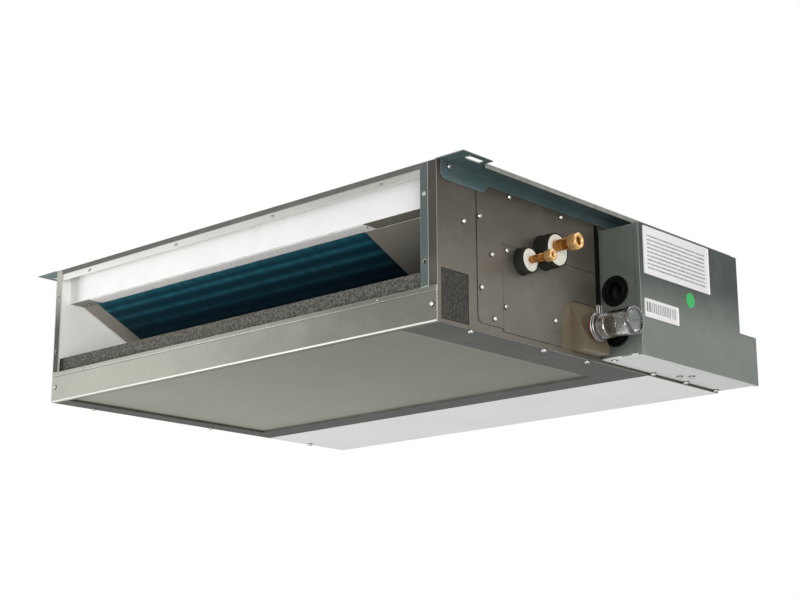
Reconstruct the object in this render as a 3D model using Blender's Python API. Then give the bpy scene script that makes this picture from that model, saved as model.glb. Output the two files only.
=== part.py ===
"""Ducted air conditioner: a low galvanised cabinet with a slanted cooling coil behind
the discharge opening, a twin-blower fan section behind it and an electrical box on the
right side.

Lengths are in metres, +Z is up. The design is drawn in cabinet coordinates: X runs
across the cabinet from its middle, Y runs from the discharge face to the return face,
and Z runs up from the underside. The empty "cabinet" carries every piece and moves the
drawing so that the middle of the part's base lies on the world origin.
"""

import math

import bmesh
import bpy
from mathutils import Matrix, Vector

# Sheet metal and fits
SHEET = 0.0012
GAP = 0.0003
PLATE_SHEET = 0.0010

# Cabinet
WIDTH = 0.940
HEIGHT = 0.250
COIL_SECTION_DEPTH = 0.549

# Discharge face
FRONT_PANEL_HEIGHT = 0.055
FRONT_PANEL_RETURN = 0.008
TOP_LIP_HEIGHT = 0.009
TOP_FLANGE_DROP = 0.021
SIDE_FLANGE_WIDTH = 0.016
FLANGE_RETURN = 0.009
POST_WIDTH = 0.017
FLANGE_HOLE_RADIUS = 0.0033
FLANGE_SLOT_LENGTH = 0.010
FLANGE_SLOT_WIDTH = 0.005
FLANGE_HOLES = 4
FLANGE_HOLE_MARGIN = 0.081
FLANGE_HOLE_RISE = 0.039
FLANGE_HOLE_DROP = 0.050
BAFFLE_SETBACK = 0.028
LINER_THICKNESS = 0.004

# Underside of the coil section
RECESS_DEPTH = 0.004
RECESS_LEFT_BORDER = 0.040
RECESS_RIGHT_BORDER = 0.080
RECESS_REAR_BORDER = 0.054
RECESS_FRONT_BORDER = 0.0025

# Coil, in its own slanted frame: Y down the slope, Z up from the face
COIL_TOP_Y = 0.059
COIL_TOP_DROP = 0.060
COIL_BASE_Z = 0.0497
COIL_LENGTH = 0.320
COIL_THICKNESS = 0.057
COIL_LEFT_SPACE = 0.049
COIL_RIGHT_SPACE = 0.202
END_FLANGE_WIDTH = 0.041
TUBE_PITCH = 0.0254
TUBE_RADIUS = 0.0040
TUBE_ROWS = 2
BEND_CLEARANCE = 0.0006
BEND_STANDOFF = 0.0012

# Drain pan
PAN_WALL = 0.012
PAN_FLOOR = 0.011
PAN_FRONT_SETBACK = 0.016
PAN_FRONT_HEIGHT = 0.080
PAN_REAR = 0.430
PAN_SIDE_SPACE = 0.0045
FOAM_THICKNESS = 0.006
FOAM_CAP = 0.003
END_FOAM_DEPTH = 0.063

# Refrigerant pipes through the right side, placed down the coil's slope and up from it
GAS_PIPE_DOWN = 0.1880
GAS_PIPE_UP = 0.0594
GAS_SLEEVE_OFFSET_Y = 0.005
GAS_SLEEVE_OFFSET_Z = -0.005
GAS_PIPE_RADIUS = 0.00635
GAS_SLEEVE_RADIUS = 0.0285
GAS_SLEEVE_REACH = 0.030
GAS_NUT_FLATS = 0.024
GAS_NUT_LENGTH = 0.0165
GAS_UNION_LENGTH = 0.0285
LIQUID_PIPE_DOWN = 0.1542
LIQUID_PIPE_UP = 0.0079
LIQUID_PIPE_RADIUS = 0.00318
LIQUID_SLEEVE_RADIUS = 0.0215
LIQUID_SLEEVE_REACH = 0.020
LIQUID_NUT_FLATS = 0.017
LIQUID_NUT_LENGTH = 0.0135
LIQUID_UNION_LENGTH = 0.030
SLEEVE_WALL = 0.0030
SLEEVE_INNER_REACH = 0.004
UNION_WALL = 0.0032
THREAD_STEP = 0.0008
THREAD_LENGTH = 0.008
NUT_END_WALL = 0.005
NUT_RECESS = 0.002
NUT_RECESS_RIM = 0.001
TURNING_CLEARANCE = 0.0003
HEADER_SPACE = 0.032
GAS_HEADER_RADIUS = 0.011
LIQUID_MANIFOLD_RADIUS = 0.0068
STUB_RADIUS = 0.0035
HEADER_STUBS = 4

# Drain outlet on the right side
DRAIN_Y = 0.3635
ARCH_FRONT_REACH = 0.0625
ARCH_REAR_REACH = 0.0355
ARCH_TOP_Z = 0.092
ARCH_RADIUS = 0.045
CUP_PLATE = 0.0042
CUP_PLATE_MARGIN = 0.006
CUP_HALF_WIDTH = 0.0325
CUP_REACH = 0.027
CUP_WALL = 0.009
CUP_BASE_Z = 0.008
CUP_LIP_Z = 0.020
CUP_TOP_SPACE = 0.0012
DRAIN_Z = 0.048
NOZZLE_RADIUS = 0.0160
NOZZLE_BORE_RADIUS = 0.0130
NOZZLE_REACH = 0.050
SOCKET_RADIUS = 0.0220
SOCKET_COLLAR_RADIUS = 0.0232
SOCKET_COLLAR_LENGTH = 0.012
SOCKET_REACH = 0.102
SOCKET_START = 0.028
CLAMP_THICKNESS = 0.0016
CLAMP_WIDTH = 0.007
CLAMP_EAR_HEIGHT = 0.012
CLAMP_EAR_OFFSET = 0.0032

# Fan section
FAN_X = 0.195
FAN_MOUTH_SPACE = 0.0097
FAN_REAR_SPACE = 0.0052
FAN_ROOF_SPACE = 0.0064
IMPELLER_RADIUS = 0.070
IMPELLER_INNER_RADIUS = 0.058
IMPELLER_WIDTH = 0.170
IMPELLER_RING = 0.004
IMPELLER_DISC = 0.003
IMPELLER_BLADES = 24
BLADE_THICKNESS = 0.0012
BLADE_LEAN = math.radians(32.0)
HUB_RADIUS = 0.016
HUB_LENGTH = 0.036
SHAFT_RADIUS = 0.006
SHAFT_OVERHANG = 0.008
HOUSING_WIDTH = 0.190
HOUSING_WALL = 0.0025
HOUSING_CUTOFF_RADIUS = 0.078
HOUSING_EXIT_RADIUS = 0.1041
HOUSING_CUTOFF_ANGLE = math.radians(290.0)
HOUSING_FLANGE = 0.010
HOUSING_TOP_FLANGE = 0.005
MOTOR_RADIUS = 0.052
MOTOR_LENGTH = 0.118
MOTOR_BOSS_RADIUS = 0.020
MOTOR_BOSS_LENGTH = 0.010
CRADLE_WIDTH = 0.090
CRADLE_SHEET = 0.0020
CRADLE_LEG = 0.060
CRADLE_GUSSET = 0.014
CRADLE_MARGIN = 0.014
STRAP_WIDTH = 0.020
STRAP_EAR = 0.014

# Return face and air filter
RETURN_FLANGE = 0.020
FILTER_THICKNESS = 0.010
FILTER_SETBACK = 0.0135
FILTER_BOTTOM = 0.012
FILTER_TOP_SPACE = 0.020
FILTER_BORDER = 0.014
FILTER_NET = 0.0010
FILTER_END_SPACE = 0.003
FILTER_CLEARANCE = 0.0006
FILTER_TAB_WIDTH = 0.040
FILTER_TAB_REACH = 0.010
FILTER_TAB_THICKNESS = 0.004
RAIL_HEIGHT = 0.010

# Hanger rails
HANGER_SHEET = 0.0015
HANGER_WIDTH = 0.041
HANGER_NOSE_WIDTH = 0.056
HANGER_NOSE_LENGTH = 0.066
HANGER_OVERHANG = 0.003
HANGER_WEB = 0.015
HANGER_TAB_DROP = 0.029
HANGER_TAB_FRONT = 0.008
HANGER_TAB_REAR = 0.108
HANGER_TAB_SLOPE = 0.017
HANGER_TAB_CORNER = 0.010
HANGER_LIP = 0.008
SLOT_LENGTH = 0.036
SLOT_WIDTH = 0.012
FRONT_SLOT_Y = 0.040
FRONT_SLOT_REACH = 0.041
REAR_SLOT_INSET = 0.035
REAR_SLOT_REACH = 0.024

# Side cover plates
ACCESS_PLATE_FRONT_Y = 0.092
ACCESS_PLATE_BASE_Z = 0.014
ACCESS_PLATE_CORNER = 0.010
PIPE_PLATE_FRONT_Y = 0.153
PIPE_PLATE_TOP_Z = 0.149
PIPE_PLATE_BASE_Z = 0.009

# Electrical box
BOX_FRONT_SPACE = 0.009
BOX_WIDTH = 0.080
BOX_STANDOFF = 0.003
BOX_BASE_Z = 0.002
BOX_STEP_Z = 0.089
BOX_TOP_DROP = 0.024
BOX_STEP_DEPTH = 0.054
BOX_COVER_FLANGE = 0.009
BOX_FOOT_RADIUS = 0.010
BOX_FOOT_INSET = 0.030
CABLE_HOLE_REACH = 0.033
CABLE_HOLE_HEIGHTS = (0.116, 0.048)
CABLE_HOLE_RADIUS = 0.0235
GROMMET_FLANGE_RADIUS = 0.0260
GROMMET_FLANGE = 0.0025
GROMMET_BORE_RADIUS = 0.0140
GROMMET_LENGTH = 0.012
BOARD_LENGTH = 0.130
BOARD_HEIGHT = 0.095
BOARD_THICKNESS = 0.0016
BOARD_STANDOFF = 0.008
BOARD_FRONT_SPACE = 0.062
BOARD_TOP_SPACE = 0.019
BOARD_POST_RADIUS = 0.003
BOARD_POST_INSET = 0.010
RELAYS = 3
RELAY_SIZE = 0.020
RELAY_HEIGHT = 0.016
RELAY_PITCH = 0.040
TERMINAL_LENGTH = 0.090
TERMINAL_DEPTH = 0.026
TERMINAL_HEIGHT = 0.032
TERMINAL_POLES = 6
TERMINAL_RIB = 0.006
TERMINAL_WELL_DEPTH = 0.013
TERMINAL_WELL_MARGIN = 0.0075
TERMINAL_FRONT_SPACE = 0.062
TERMINAL_BASE_SPACE = 0.028
CAPACITOR_RADIUS = 0.018
CAPACITOR_LENGTH = 0.062
CAPACITOR_SPACE = 0.020
CAPACITOR_RISE = 0.016

# Places that follow from the sizes above
HALF = WIDTH / 2
INNER = HALF - SHEET
BETWEEN = INNER - GAP
CEILING = HEIGHT - SHEET - GAP
FLOOR = SHEET + GAP
SIDE_FACE = HALF + GAP
BOX_FACE = HALF + BOX_STANDOFF + BOX_WIDTH
PARTITION_Y = COIL_SECTION_DEPTH + GAP
OUTLET_Y = PARTITION_Y + SHEET + GAP
HOUSING_GROWTH = (HOUSING_EXIT_RADIUS - HOUSING_CUTOFF_RADIUS) / HOUSING_CUTOFF_ANGLE
HOUSING_REAR_REACH = HOUSING_EXIT_RADIUS + HOUSING_WALL - HOUSING_GROWTH * math.pi / 2
FAN_Y = OUTLET_Y + HOUSING_CUTOFF_RADIUS + HOUSING_WALL + FAN_MOUTH_SPACE
FAN_Z = HEIGHT - FAN_ROOF_SPACE - HOUSING_WALL - HOUSING_EXIT_RADIUS
FILTER_FRONT_Y = FAN_Y + HOUSING_REAR_REACH + FAN_REAR_SPACE + SHEET + FILTER_CLEARANCE
FILTER_BACK_Y = FILTER_FRONT_Y + FILTER_THICKNESS
FILTER_TOP = HEIGHT - FILTER_TOP_SPACE
DEPTH = FILTER_BACK_Y + FILTER_SETBACK
COIL_LEFT = -HALF + COIL_LEFT_SPACE
COIL_RIGHT = HALF - COIL_RIGHT_SPACE
COIL_TOP_Z = HEIGHT - COIL_TOP_DROP
COIL_SLOPE = math.asin((COIL_TOP_Z - COIL_BASE_Z) / COIL_LENGTH)
COIL_LOW_Z = COIL_BASE_Z - SHEET * math.cos(COIL_SLOPE)
BAFFLE_SHELF_Z = COIL_TOP_Z + GAP
HEADER_X = COIL_RIGHT + HEADER_SPACE
LEFT_WALL = -BETWEEN + LINER_THICKNESS + GAP
PAN_RIGHT = BETWEEN - PAN_SIDE_SPACE
PAN_SIDE_TOP = COIL_LOW_Z - GAP
PAN_BASE = RECESS_DEPTH + SHEET + GAP
FLANGE_HOLE_HEIGHTS = (FRONT_PANEL_HEIGHT + FLANGE_HOLE_RISE, HEIGHT - FLANGE_HOLE_DROP)
CABLE_HOLE_X = HALF + CABLE_HOLE_REACH
ARCH_FRONT_Y = DRAIN_Y - ARCH_FRONT_REACH
ARCH_REAR_Y = DRAIN_Y + ARCH_REAR_REACH
CUP_FRONT_Y = DRAIN_Y - CUP_HALF_WIDTH
CUP_REAR_Y = DRAIN_Y + CUP_HALF_WIDTH
BOX_FRONT_Y = ARCH_REAR_Y + BOX_FRONT_SPACE
BOX_STEP_Y = DEPTH - BOX_STEP_DEPTH
BOX_TOP_Z = HEIGHT - BOX_TOP_DROP
BOARD_Y = BOX_FRONT_Y + BOARD_FRONT_SPACE
BOARD_Z = BOX_TOP_Z - BOARD_TOP_SPACE - BOARD_HEIGHT
TERMINAL_Y = BOX_FRONT_Y + TERMINAL_FRONT_SPACE
TERMINAL_Z = BOX_BASE_Z + TERMINAL_BASE_SPACE
CAPACITOR_Y = TERMINAL_Y + TERMINAL_LENGTH + CAPACITOR_SPACE
CAPACITOR_Z = TERMINAL_Z + CAPACITOR_RISE
SOCKET_END = HALF + SOCKET_REACH
X_MIDDLE = (max(BOX_FACE, SOCKET_END) - HALF - HANGER_NOSE_WIDTH) / 2
Y_MIDDLE = (DEPTH - HANGER_OVERHANG) / 2


def from_coil_frame(down, up):
    """Place (y, z) in the cabinet of a point down the coil's slope and up from its face."""
    y = COIL_TOP_Y + down * math.cos(COIL_SLOPE) + up * math.sin(COIL_SLOPE)
    z = COIL_TOP_Z - down * math.sin(COIL_SLOPE) + up * math.cos(COIL_SLOPE)
    return y, z


GAS_PIPE_Y, GAS_PIPE_Z = from_coil_frame(GAS_PIPE_DOWN, GAS_PIPE_UP)
GAS_SLEEVE_Y = GAS_PIPE_Y + GAS_SLEEVE_OFFSET_Y
GAS_SLEEVE_Z = GAS_PIPE_Z + GAS_SLEEVE_OFFSET_Z
LIQUID_SLEEVE_Y, LIQUID_SLEEVE_Z = from_coil_frame(LIQUID_PIPE_DOWN, LIQUID_PIPE_UP)

SMOOTH_ANGLE = math.radians(35.0)
ROUND_STEPS = 28
MIDDLE_STEPS = 16
SMALL_STEPS = 8
BEND_STEPS = 6
BEND_ARC_STEPS = 5
SCROLL_STEPS = 22
ARCH_STEPS = 8
CORNER_STEPS = 4
SLOT_STEPS = 6

FINISHES = {
    "galvanised": ((0.42, 0.42, 0.40), 0.38, 0.85),
    "galvanised_dark": ((0.20, 0.19, 0.17), 0.42, 0.75),
    "galvanised_blue": ((0.13, 0.19, 0.20), 0.40, 0.70),
    "galvanised_light": ((0.62, 0.64, 0.62), 0.40, 0.60),
    "white_sheet": ((0.86, 0.87, 0.86), 0.55, 0.10),
    "white_foam": ((0.82, 0.82, 0.80), 0.85, 0.0),
    "grey_foam": ((0.12, 0.115, 0.105), 0.92, 0.0),
    "pan_plastic": ((0.30, 0.28, 0.24), 0.70, 0.0),
    "coil_fins": ((0.03, 0.12, 0.17), 0.45, 0.45),
    "copper": ((0.72, 0.38, 0.22), 0.30, 1.0),
    "brass": ((0.80, 0.52, 0.25), 0.28, 1.0),
    "rubber": ((0.03, 0.03, 0.03), 0.80, 0.0),
    "cup_plastic": ((0.32, 0.28, 0.23), 0.60, 0.0),
    "clear_plastic": ((0.85, 0.88, 0.88), 0.08, 0.0),
    "housing_plastic": ((0.70, 0.70, 0.68), 0.55, 0.0),
    "impeller_plastic": ((0.10, 0.10, 0.11), 0.50, 0.0),
    "motor_paint": ((0.16, 0.17, 0.18), 0.45, 0.40),
    "steel": ((0.55, 0.55, 0.56), 0.30, 1.0),
    "filter_plastic": ((0.14, 0.15, 0.16), 0.60, 0.0),
    "filter_net": ((0.24, 0.25, 0.26), 0.75, 0.0),
    "board_green": ((0.05, 0.22, 0.10), 0.45, 0.0),
    "terminal_white": ((0.80, 0.79, 0.74), 0.50, 0.0),
}


def clear_scene():
    """Remove every object that is already in the file."""
    for obj in list(bpy.data.objects):
        bpy.data.objects.remove(obj, do_unlink=True)


def finish_material(name):
    """Return the Principled material of one finish, made when first used."""
    material = bpy.data.materials.get(name)
    if material is None:
        colour, roughness, metallic = FINISHES[name]
        material = bpy.data.materials.new(name)
        material.use_nodes = True
        shader = material.node_tree.nodes["Principled BSDF"]
        shader.inputs["Base Color"].default_value = (*colour, 1.0)
        shader.inputs["Roughness"].default_value = roughness
        shader.inputs["Metallic"].default_value = metallic
    return material


def add_empty(name, parent=None, location=(0, 0, 0), rotation=(0, 0, 0)):
    """Add an empty that carries other pieces."""
    empty = bpy.data.objects.new(name, None)
    empty.location = location
    empty.rotation_euler = rotation
    empty.parent = parent
    bpy.context.scene.collection.objects.link(empty)
    return empty


def add_piece(name, shape, finish, parent, origin=(0, 0, 0), smooth=False):
    """Turn a bmesh drawn in its parent's frame into an object with its origin at origin."""
    bmesh.ops.remove_doubles(shape, verts=shape.verts, dist=1e-6)
    bmesh.ops.recalc_face_normals(shape, faces=shape.faces)
    bmesh.ops.translate(shape, verts=shape.verts, vec=-Vector(origin))
    mesh = bpy.data.meshes.new(name)
    shape.to_mesh(mesh)
    shape.free()
    if finish:
        mesh.materials.append(finish_material(finish))
    if smooth:
        mesh.shade_smooth()
        mesh.set_sharp_from_angle(angle=SMOOTH_ANGLE)
    obj = bpy.data.objects.new(name, mesh)
    obj.parent = parent
    obj.location = origin
    bpy.context.scene.collection.objects.link(obj)
    return obj


def in_space(axis, along, first, second):
    """Place a point of a flat outline: X takes (y, z), Y takes (x, z) and Z takes (x, y)."""
    places = {
        "X": (along, first, second),
        "Y": (first, along, second),
        "Z": (first, second, along),
    }
    return Vector(places[axis])


def extrude_outline(shape, outline, axis, start, end):
    """Add a flat outline at start and extrude it along the axis to end."""
    corners = [shape.verts.new(in_space(axis, start, *point)) for point in outline]
    face = shape.faces.new(corners)
    grown = bmesh.ops.extrude_face_region(shape, geom=[face])
    moved = [item for item in grown["geom"] if isinstance(item, bmesh.types.BMVert)]
    bmesh.ops.translate(shape, verts=moved, vec=in_space(axis, end - start, 0, 0))


def block_in(shape, low, high):
    """Add a block between two corners to a bmesh."""
    centre = (Vector(low) + Vector(high)) / 2
    size = Vector(high) - Vector(low)
    matrix = Matrix.Translation(centre) @ Matrix.Diagonal((*size, 1.0))
    bmesh.ops.create_cube(shape, size=1.0, matrix=matrix)


def rod_in(shape, axis, centre, radius, start, end, steps=ROUND_STEPS):
    """Add a solid round rod to a bmesh; centre is the outline's two coordinates."""
    extrude_outline(shape, circle(*centre, radius, steps), axis, start, end)


def circle(first, second, radius, steps=ROUND_STEPS):
    """Points of a full circle."""
    turn = 2 * math.pi / steps
    return [
        (first + radius * math.cos(turn * i), second + radius * math.sin(turn * i))
        for i in range(steps)
    ]


def arc(first, second, radius, start, end, steps):
    """Points of an arc from one angle to another, both ends included."""
    angles = [start + (end - start) * i / steps for i in range(steps + 1)]
    return [(first + radius * math.cos(a), second + radius * math.sin(a)) for a in angles]


def rectangle(low, high):
    """Corners of a rectangle in order."""
    return [(low[0], low[1]), (high[0], low[1]), (high[0], high[1]), (low[0], high[1])]


def slot_outline(first, second, length, width):
    """A slot with round ends that runs along the second direction."""
    reach = (length - width) / 2
    upper = arc(first, second + reach, width / 2, 0, math.pi, SLOT_STEPS)
    lower = arc(first, second - reach, width / 2, math.pi, 2 * math.pi, SLOT_STEPS)
    return upper + lower


def lying_slot(first, second, length, width):
    """A slot with round ends that runs along the first direction."""
    return [(along, across) for across, along in slot_outline(second, first, length, width)]


def prism(name, outline, axis, start, end, finish, parent, origin=(0, 0, 0), smooth=False):
    """A piece with one flat outline, extruded."""
    shape = bmesh.new()
    extrude_outline(shape, outline, axis, start, end)
    return add_piece(name, shape, finish, parent, origin, smooth)


def block(name, low, high, finish, parent):
    """A plain rectangular piece with its origin at its low corner."""
    shape = bmesh.new()
    block_in(shape, low, high)
    return add_piece(name, shape, finish, parent, low)


def turned(name, profile, axis, centre, finish, parent, steps=ROUND_STEPS):
    """Spin a closed profile of (along, radius) points about an axis through centre.

    The object's origin is on the axis, at the profile's zero.
    """
    shape = bmesh.new()
    ring = [shape.verts.new(in_space("X", along, radius, 0)) for along, radius in profile]
    edges = [shape.edges.new((ring[i - 1], ring[i])) for i in range(len(ring))]
    bmesh.ops.spin(
        shape, geom=ring + edges, cent=(0, 0, 0), axis=(1, 0, 0),
        angle=2 * math.pi, steps=steps, use_merge=True,
    )
    if axis == "Y":
        bmesh.ops.rotate(
            shape, verts=shape.verts, cent=(0, 0, 0),
            matrix=Matrix.Rotation(math.pi / 2, 3, "Z"),
        )
    bmesh.ops.translate(shape, verts=shape.verts, vec=centre)
    return add_piece(name, shape, finish, parent, centre, smooth=True)


def tool_piece(name, shape, parent):
    """An object that only shapes others: it isn't rendered."""
    tool = add_piece(name, shape, None, parent)
    tool.hide_render = True
    tool.display_type = "WIRE"
    return tool


def shape_with(obj, tool, operation):
    """Let a tool object cut, join or limit a piece with a live Boolean."""
    modifier = obj.modifiers.new(operation.lower(), "BOOLEAN")
    modifier.operation = operation
    modifier.solver = "EXACT"
    modifier.object = tool


def cut(obj, *builders):
    """Cut the shapes that the builders draw out of a piece."""
    tool_shape = bmesh.new()
    for draw in builders:
        draw(tool_shape)
    tool = tool_piece(obj.name + "_cutter", tool_shape, obj.parent)
    shape_with(obj, tool, "DIFFERENCE")


def join(obj, *builders):
    """Join the shapes that the builders draw to a piece, one after the other."""
    for draw in builders:
        tool_shape = bmesh.new()
        draw(tool_shape)
        tool = tool_piece(obj.name + "_addition", tool_shape, obj.parent)
        shape_with(obj, tool, "UNION")


def block_shape(low, high):
    """A builder of one block."""
    return lambda shape: block_in(shape, low, high)


def rod_shape(axis, centre, radius, start, end, steps=ROUND_STEPS):
    """A builder of one round rod."""
    return lambda shape: rod_in(shape, axis, centre, radius, start, end, steps)


def outline_shape(outline, axis, start, end):
    """A builder of one extruded outline."""
    return lambda shape: extrude_outline(shape, outline, axis, start, end)


def folded(points, thickness):
    """Outline of a folded sheet: a path of right-angled corners, thickened to its left."""
    path = [Vector(point) for point in points]
    runs = [(path[i + 1] - path[i]).normalized() for i in range(len(path) - 1)]
    lefts = [Vector((-run.y, run.x)) for run in runs]
    inner = [path[0] + lefts[0] * thickness]
    for i in range(1, len(path) - 1):
        inner.append(path[i] + (lefts[i - 1] + lefts[i]) * thickness)
    inner.append(path[-1] + lefts[-1] * thickness)
    return [tuple(p) for p in path] + [tuple(p) for p in reversed(inner)]


def hole_places(count, pitch):
    """Evenly spaced places about zero."""
    return [(i - (count - 1) / 2) * pitch for i in range(count)]


def build_top_panel(cabinet):
    """Flat roof sheet whose front edge is turned down as a lip."""
    panel = block(
        "top_panel", (-BETWEEN, 0, HEIGHT - SHEET), (BETWEEN, DEPTH, HEIGHT),
        "galvanised", cabinet,
    )
    lip_low = (-HALF + SIDE_FLANGE_WIDTH, 0, HEIGHT - TOP_LIP_HEIGHT)
    lip_high = (HALF - POST_WIDTH - SIDE_FLANGE_WIDTH, SHEET, HEIGHT - SHEET / 2)
    join(panel, block_shape(lip_low, lip_high))
    return panel


def filter_slot():
    """Low and high corner of the slot in the left side that the filter slides through."""
    low = (-HALF - GAP, FILTER_FRONT_Y - FILTER_CLEARANCE, FILTER_BOTTOM - FILTER_CLEARANCE)
    high = (-INNER + GAP, FILTER_BACK_Y + FILTER_CLEARANCE, FILTER_TOP + FILTER_CLEARANCE)
    return low, high


def build_left_side_panel(cabinet):
    """Left side sheet with its rear edge folded in as a duct flange."""
    outline = folded([(-HALF + RETURN_FLANGE, DEPTH), (-HALF, DEPTH), (-HALF, 0)], SHEET)
    panel = prism("left_side_panel", outline, "Z", 0, HEIGHT, "galvanised", cabinet)
    reach = -HALF + RETURN_FLANGE + GAP
    cut(
        panel,
        block_shape((-INNER, DEPTH - 2 * SHEET, CEILING), (reach, DEPTH + GAP, HEIGHT + GAP)),
        block_shape((-INNER, DEPTH - 2 * SHEET, -GAP), (reach, DEPTH + GAP, FLOOR)),
        block_shape(*filter_slot()),
    )
    return panel


def arch_outline(base, rear):
    """Outline (y, z) of the drain opening: round at its upper front corner only."""
    shoulder = arc(
        ARCH_FRONT_Y + ARCH_RADIUS, ARCH_TOP_Z - ARCH_RADIUS, ARCH_RADIUS,
        math.pi / 2, math.pi, ARCH_STEPS,
    )
    return [(rear, base), (rear, ARCH_TOP_Z), *shoulder, (ARCH_FRONT_Y, base)]


def pipe_hole(centre_y, centre_z, radius):
    """A builder of the hole that a pipe sleeve passes through, in any side sheet."""
    start = INNER - SHEET
    end = SIDE_FACE + PLATE_SHEET + SHEET
    return rod_shape("X", (centre_y, centre_z), radius + GAP, start, end)


def side_openings():
    """Builders of the two pipe holes and the drain arch."""
    start = INNER - SHEET
    end = SIDE_FACE + PLATE_SHEET + SHEET
    return (
        pipe_hole(GAS_SLEEVE_Y, GAS_SLEEVE_Z, GAS_SLEEVE_RADIUS),
        pipe_hole(LIQUID_SLEEVE_Y, LIQUID_SLEEVE_Z, LIQUID_SLEEVE_RADIUS),
        outline_shape(arch_outline(CUP_BASE_Z - GAP, ARCH_REAR_Y), "X", start, end),
    )


def end_foam_corners(margin):
    """Low and high (y, z) corners of the foam window at the right front."""
    low = (FOAM_THICKNESS + 2 * SHEET, PAN_BASE)
    high = (low[0] + END_FOAM_DEPTH, PAN_FRONT_HEIGHT + FOAM_CAP)
    return (low[0] + margin, low[1] + margin), (high[0] - margin, high[1] - margin)


def build_right_side_panel(cabinet):
    """Right side sheet: front edge folded in as a post, rear edge as a duct flange."""
    outline = folded(
        [(HALF - POST_WIDTH, 0), (HALF, 0), (HALF, DEPTH), (HALF - RETURN_FLANGE, DEPTH)],
        SHEET,
    )
    panel = prism("right_side_panel", outline, "Z", 0, HEIGHT, "galvanised_dark", cabinet)
    post = HALF - POST_WIDTH - GAP
    flange = HALF - RETURN_FLANGE - GAP
    foam_low, foam_high = end_foam_corners(0)
    cut(
        panel,
        block_shape((post, -GAP, CEILING), (INNER, 2 * SHEET, HEIGHT + GAP)),
        block_shape((post, -GAP, -GAP), (INNER, 2 * SHEET, FRONT_PANEL_HEIGHT + GAP)),
        block_shape((flange, DEPTH - 2 * SHEET, CEILING), (INNER, DEPTH + GAP, HEIGHT + GAP)),
        block_shape((flange, DEPTH - 2 * SHEET, -GAP), (INNER, DEPTH + GAP, FLOOR)),
        block_shape((INNER - SHEET, *foam_low), (HALF + SHEET, *foam_high)),
        *side_openings(),
    )
    return panel


def build_access_plate(cabinet):
    """Cover plate on the right side, cut back around the pipe plate."""
    top = HEIGHT - HANGER_WEB - GAP
    tab_base = HEIGHT - HANGER_TAB_DROP - GAP
    corner_y = ACCESS_PLATE_FRONT_Y + ACCESS_PLATE_CORNER
    corner_z = ACCESS_PLATE_BASE_Z + ACCESS_PLATE_CORNER
    rounded = arc(
        corner_y, corner_z, ACCESS_PLATE_CORNER, math.pi, 1.5 * math.pi, CORNER_STEPS,
    )
    outline = [
        (HANGER_TAB_REAR, tab_base),
        (ACCESS_PLATE_FRONT_Y, tab_base),
        *rounded,
        (PIPE_PLATE_FRONT_Y - GAP, ACCESS_PLATE_BASE_Z),
        (PIPE_PLATE_FRONT_Y - GAP, PIPE_PLATE_TOP_Z + GAP),
        (ARCH_REAR_Y, PIPE_PLATE_TOP_Z + GAP),
        (ARCH_REAR_Y, top),
        (HANGER_TAB_REAR + HANGER_TAB_SLOPE, top),
    ]
    plate = prism(
        "access_plate", outline, "X", SIDE_FACE, SIDE_FACE + PLATE_SHEET,
        "galvanised_dark", cabinet,
    )
    cut(plate, *side_openings()[:2])
    return plate


def build_pipe_plate(cabinet):
    """Lower cover plate, notched for the pipe sleeves and the drain arch."""
    outline = rectangle((PIPE_PLATE_FRONT_Y, PIPE_PLATE_BASE_Z), (ARCH_REAR_Y, PIPE_PLATE_TOP_Z))
    plate = prism(
        "pipe_plate", outline, "X", SIDE_FACE, SIDE_FACE + PLATE_SHEET,
        "galvanised_dark", cabinet,
    )
    start = SIDE_FACE - SHEET
    end = SIDE_FACE + PLATE_SHEET + SHEET
    cut(
        plate, *side_openings()[:2],
        outline_shape(arch_outline(0, ARCH_REAR_Y + SHEET), "X", start, end),
    )
    return plate


def build_lower_front_panel(cabinet):
    """C-shaped strip below the discharge opening."""
    outline = folded(
        [(FRONT_PANEL_RETURN, FRONT_PANEL_HEIGHT), (0, FRONT_PANEL_HEIGHT),
         (0, 0), (FRONT_PANEL_RETURN, 0)],
        SHEET,
    )
    return prism(
        "lower_front_panel", outline, "X", -BETWEEN, BETWEEN, "galvanised_light", cabinet,
    )


def rectangle_ring(shape, low, high, level):
    """Add the four corners of a level rectangle and return them in order."""
    return [shape.verts.new((x, y, level)) for x, y in rectangle(low, high)]


def build_coil_bottom_panel(cabinet):
    """Bottom sheet of the coil section, its middle pressed up as a shallow recess."""
    outer = ((-BETWEEN, FRONT_PANEL_RETURN + GAP), (BETWEEN, COIL_SECTION_DEPTH - GAP))
    pressed = (
        (-HALF + RECESS_LEFT_BORDER, outer[0][1] + RECESS_FRONT_BORDER),
        (HALF - RECESS_RIGHT_BORDER, COIL_SECTION_DEPTH - RECESS_REAR_BORDER),
    )
    grown = (
        (pressed[0][0] - SHEET, pressed[0][1] - SHEET),
        (pressed[1][0] + SHEET, pressed[1][1] + SHEET),
    )
    shape = bmesh.new()
    rings = [
        rectangle_ring(shape, *pressed, RECESS_DEPTH),
        rectangle_ring(shape, *pressed, 0),
        rectangle_ring(shape, *outer, 0),
        rectangle_ring(shape, *outer, SHEET),
        rectangle_ring(shape, *grown, SHEET),
        rectangle_ring(shape, *grown, RECESS_DEPTH + SHEET),
    ]
    shape.faces.new(rings[0])
    shape.faces.new(rings[-1])
    for lower, upper in zip(rings, rings[1:]):
        for i in range(4):
            shape.faces.new((lower[i - 1], lower[i], upper[i], upper[i - 1]))
    return add_piece("coil_bottom_panel", shape, "galvanised", cabinet)


def build_fan_bottom_panel(cabinet):
    """Flat bottom sheet under the fan section."""
    low = (-BETWEEN, COIL_SECTION_DEPTH + GAP, 0)
    high = (BETWEEN, DEPTH, SHEET)
    return block("fan_bottom_panel", low, high, "galvanised_light", cabinet)


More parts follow.
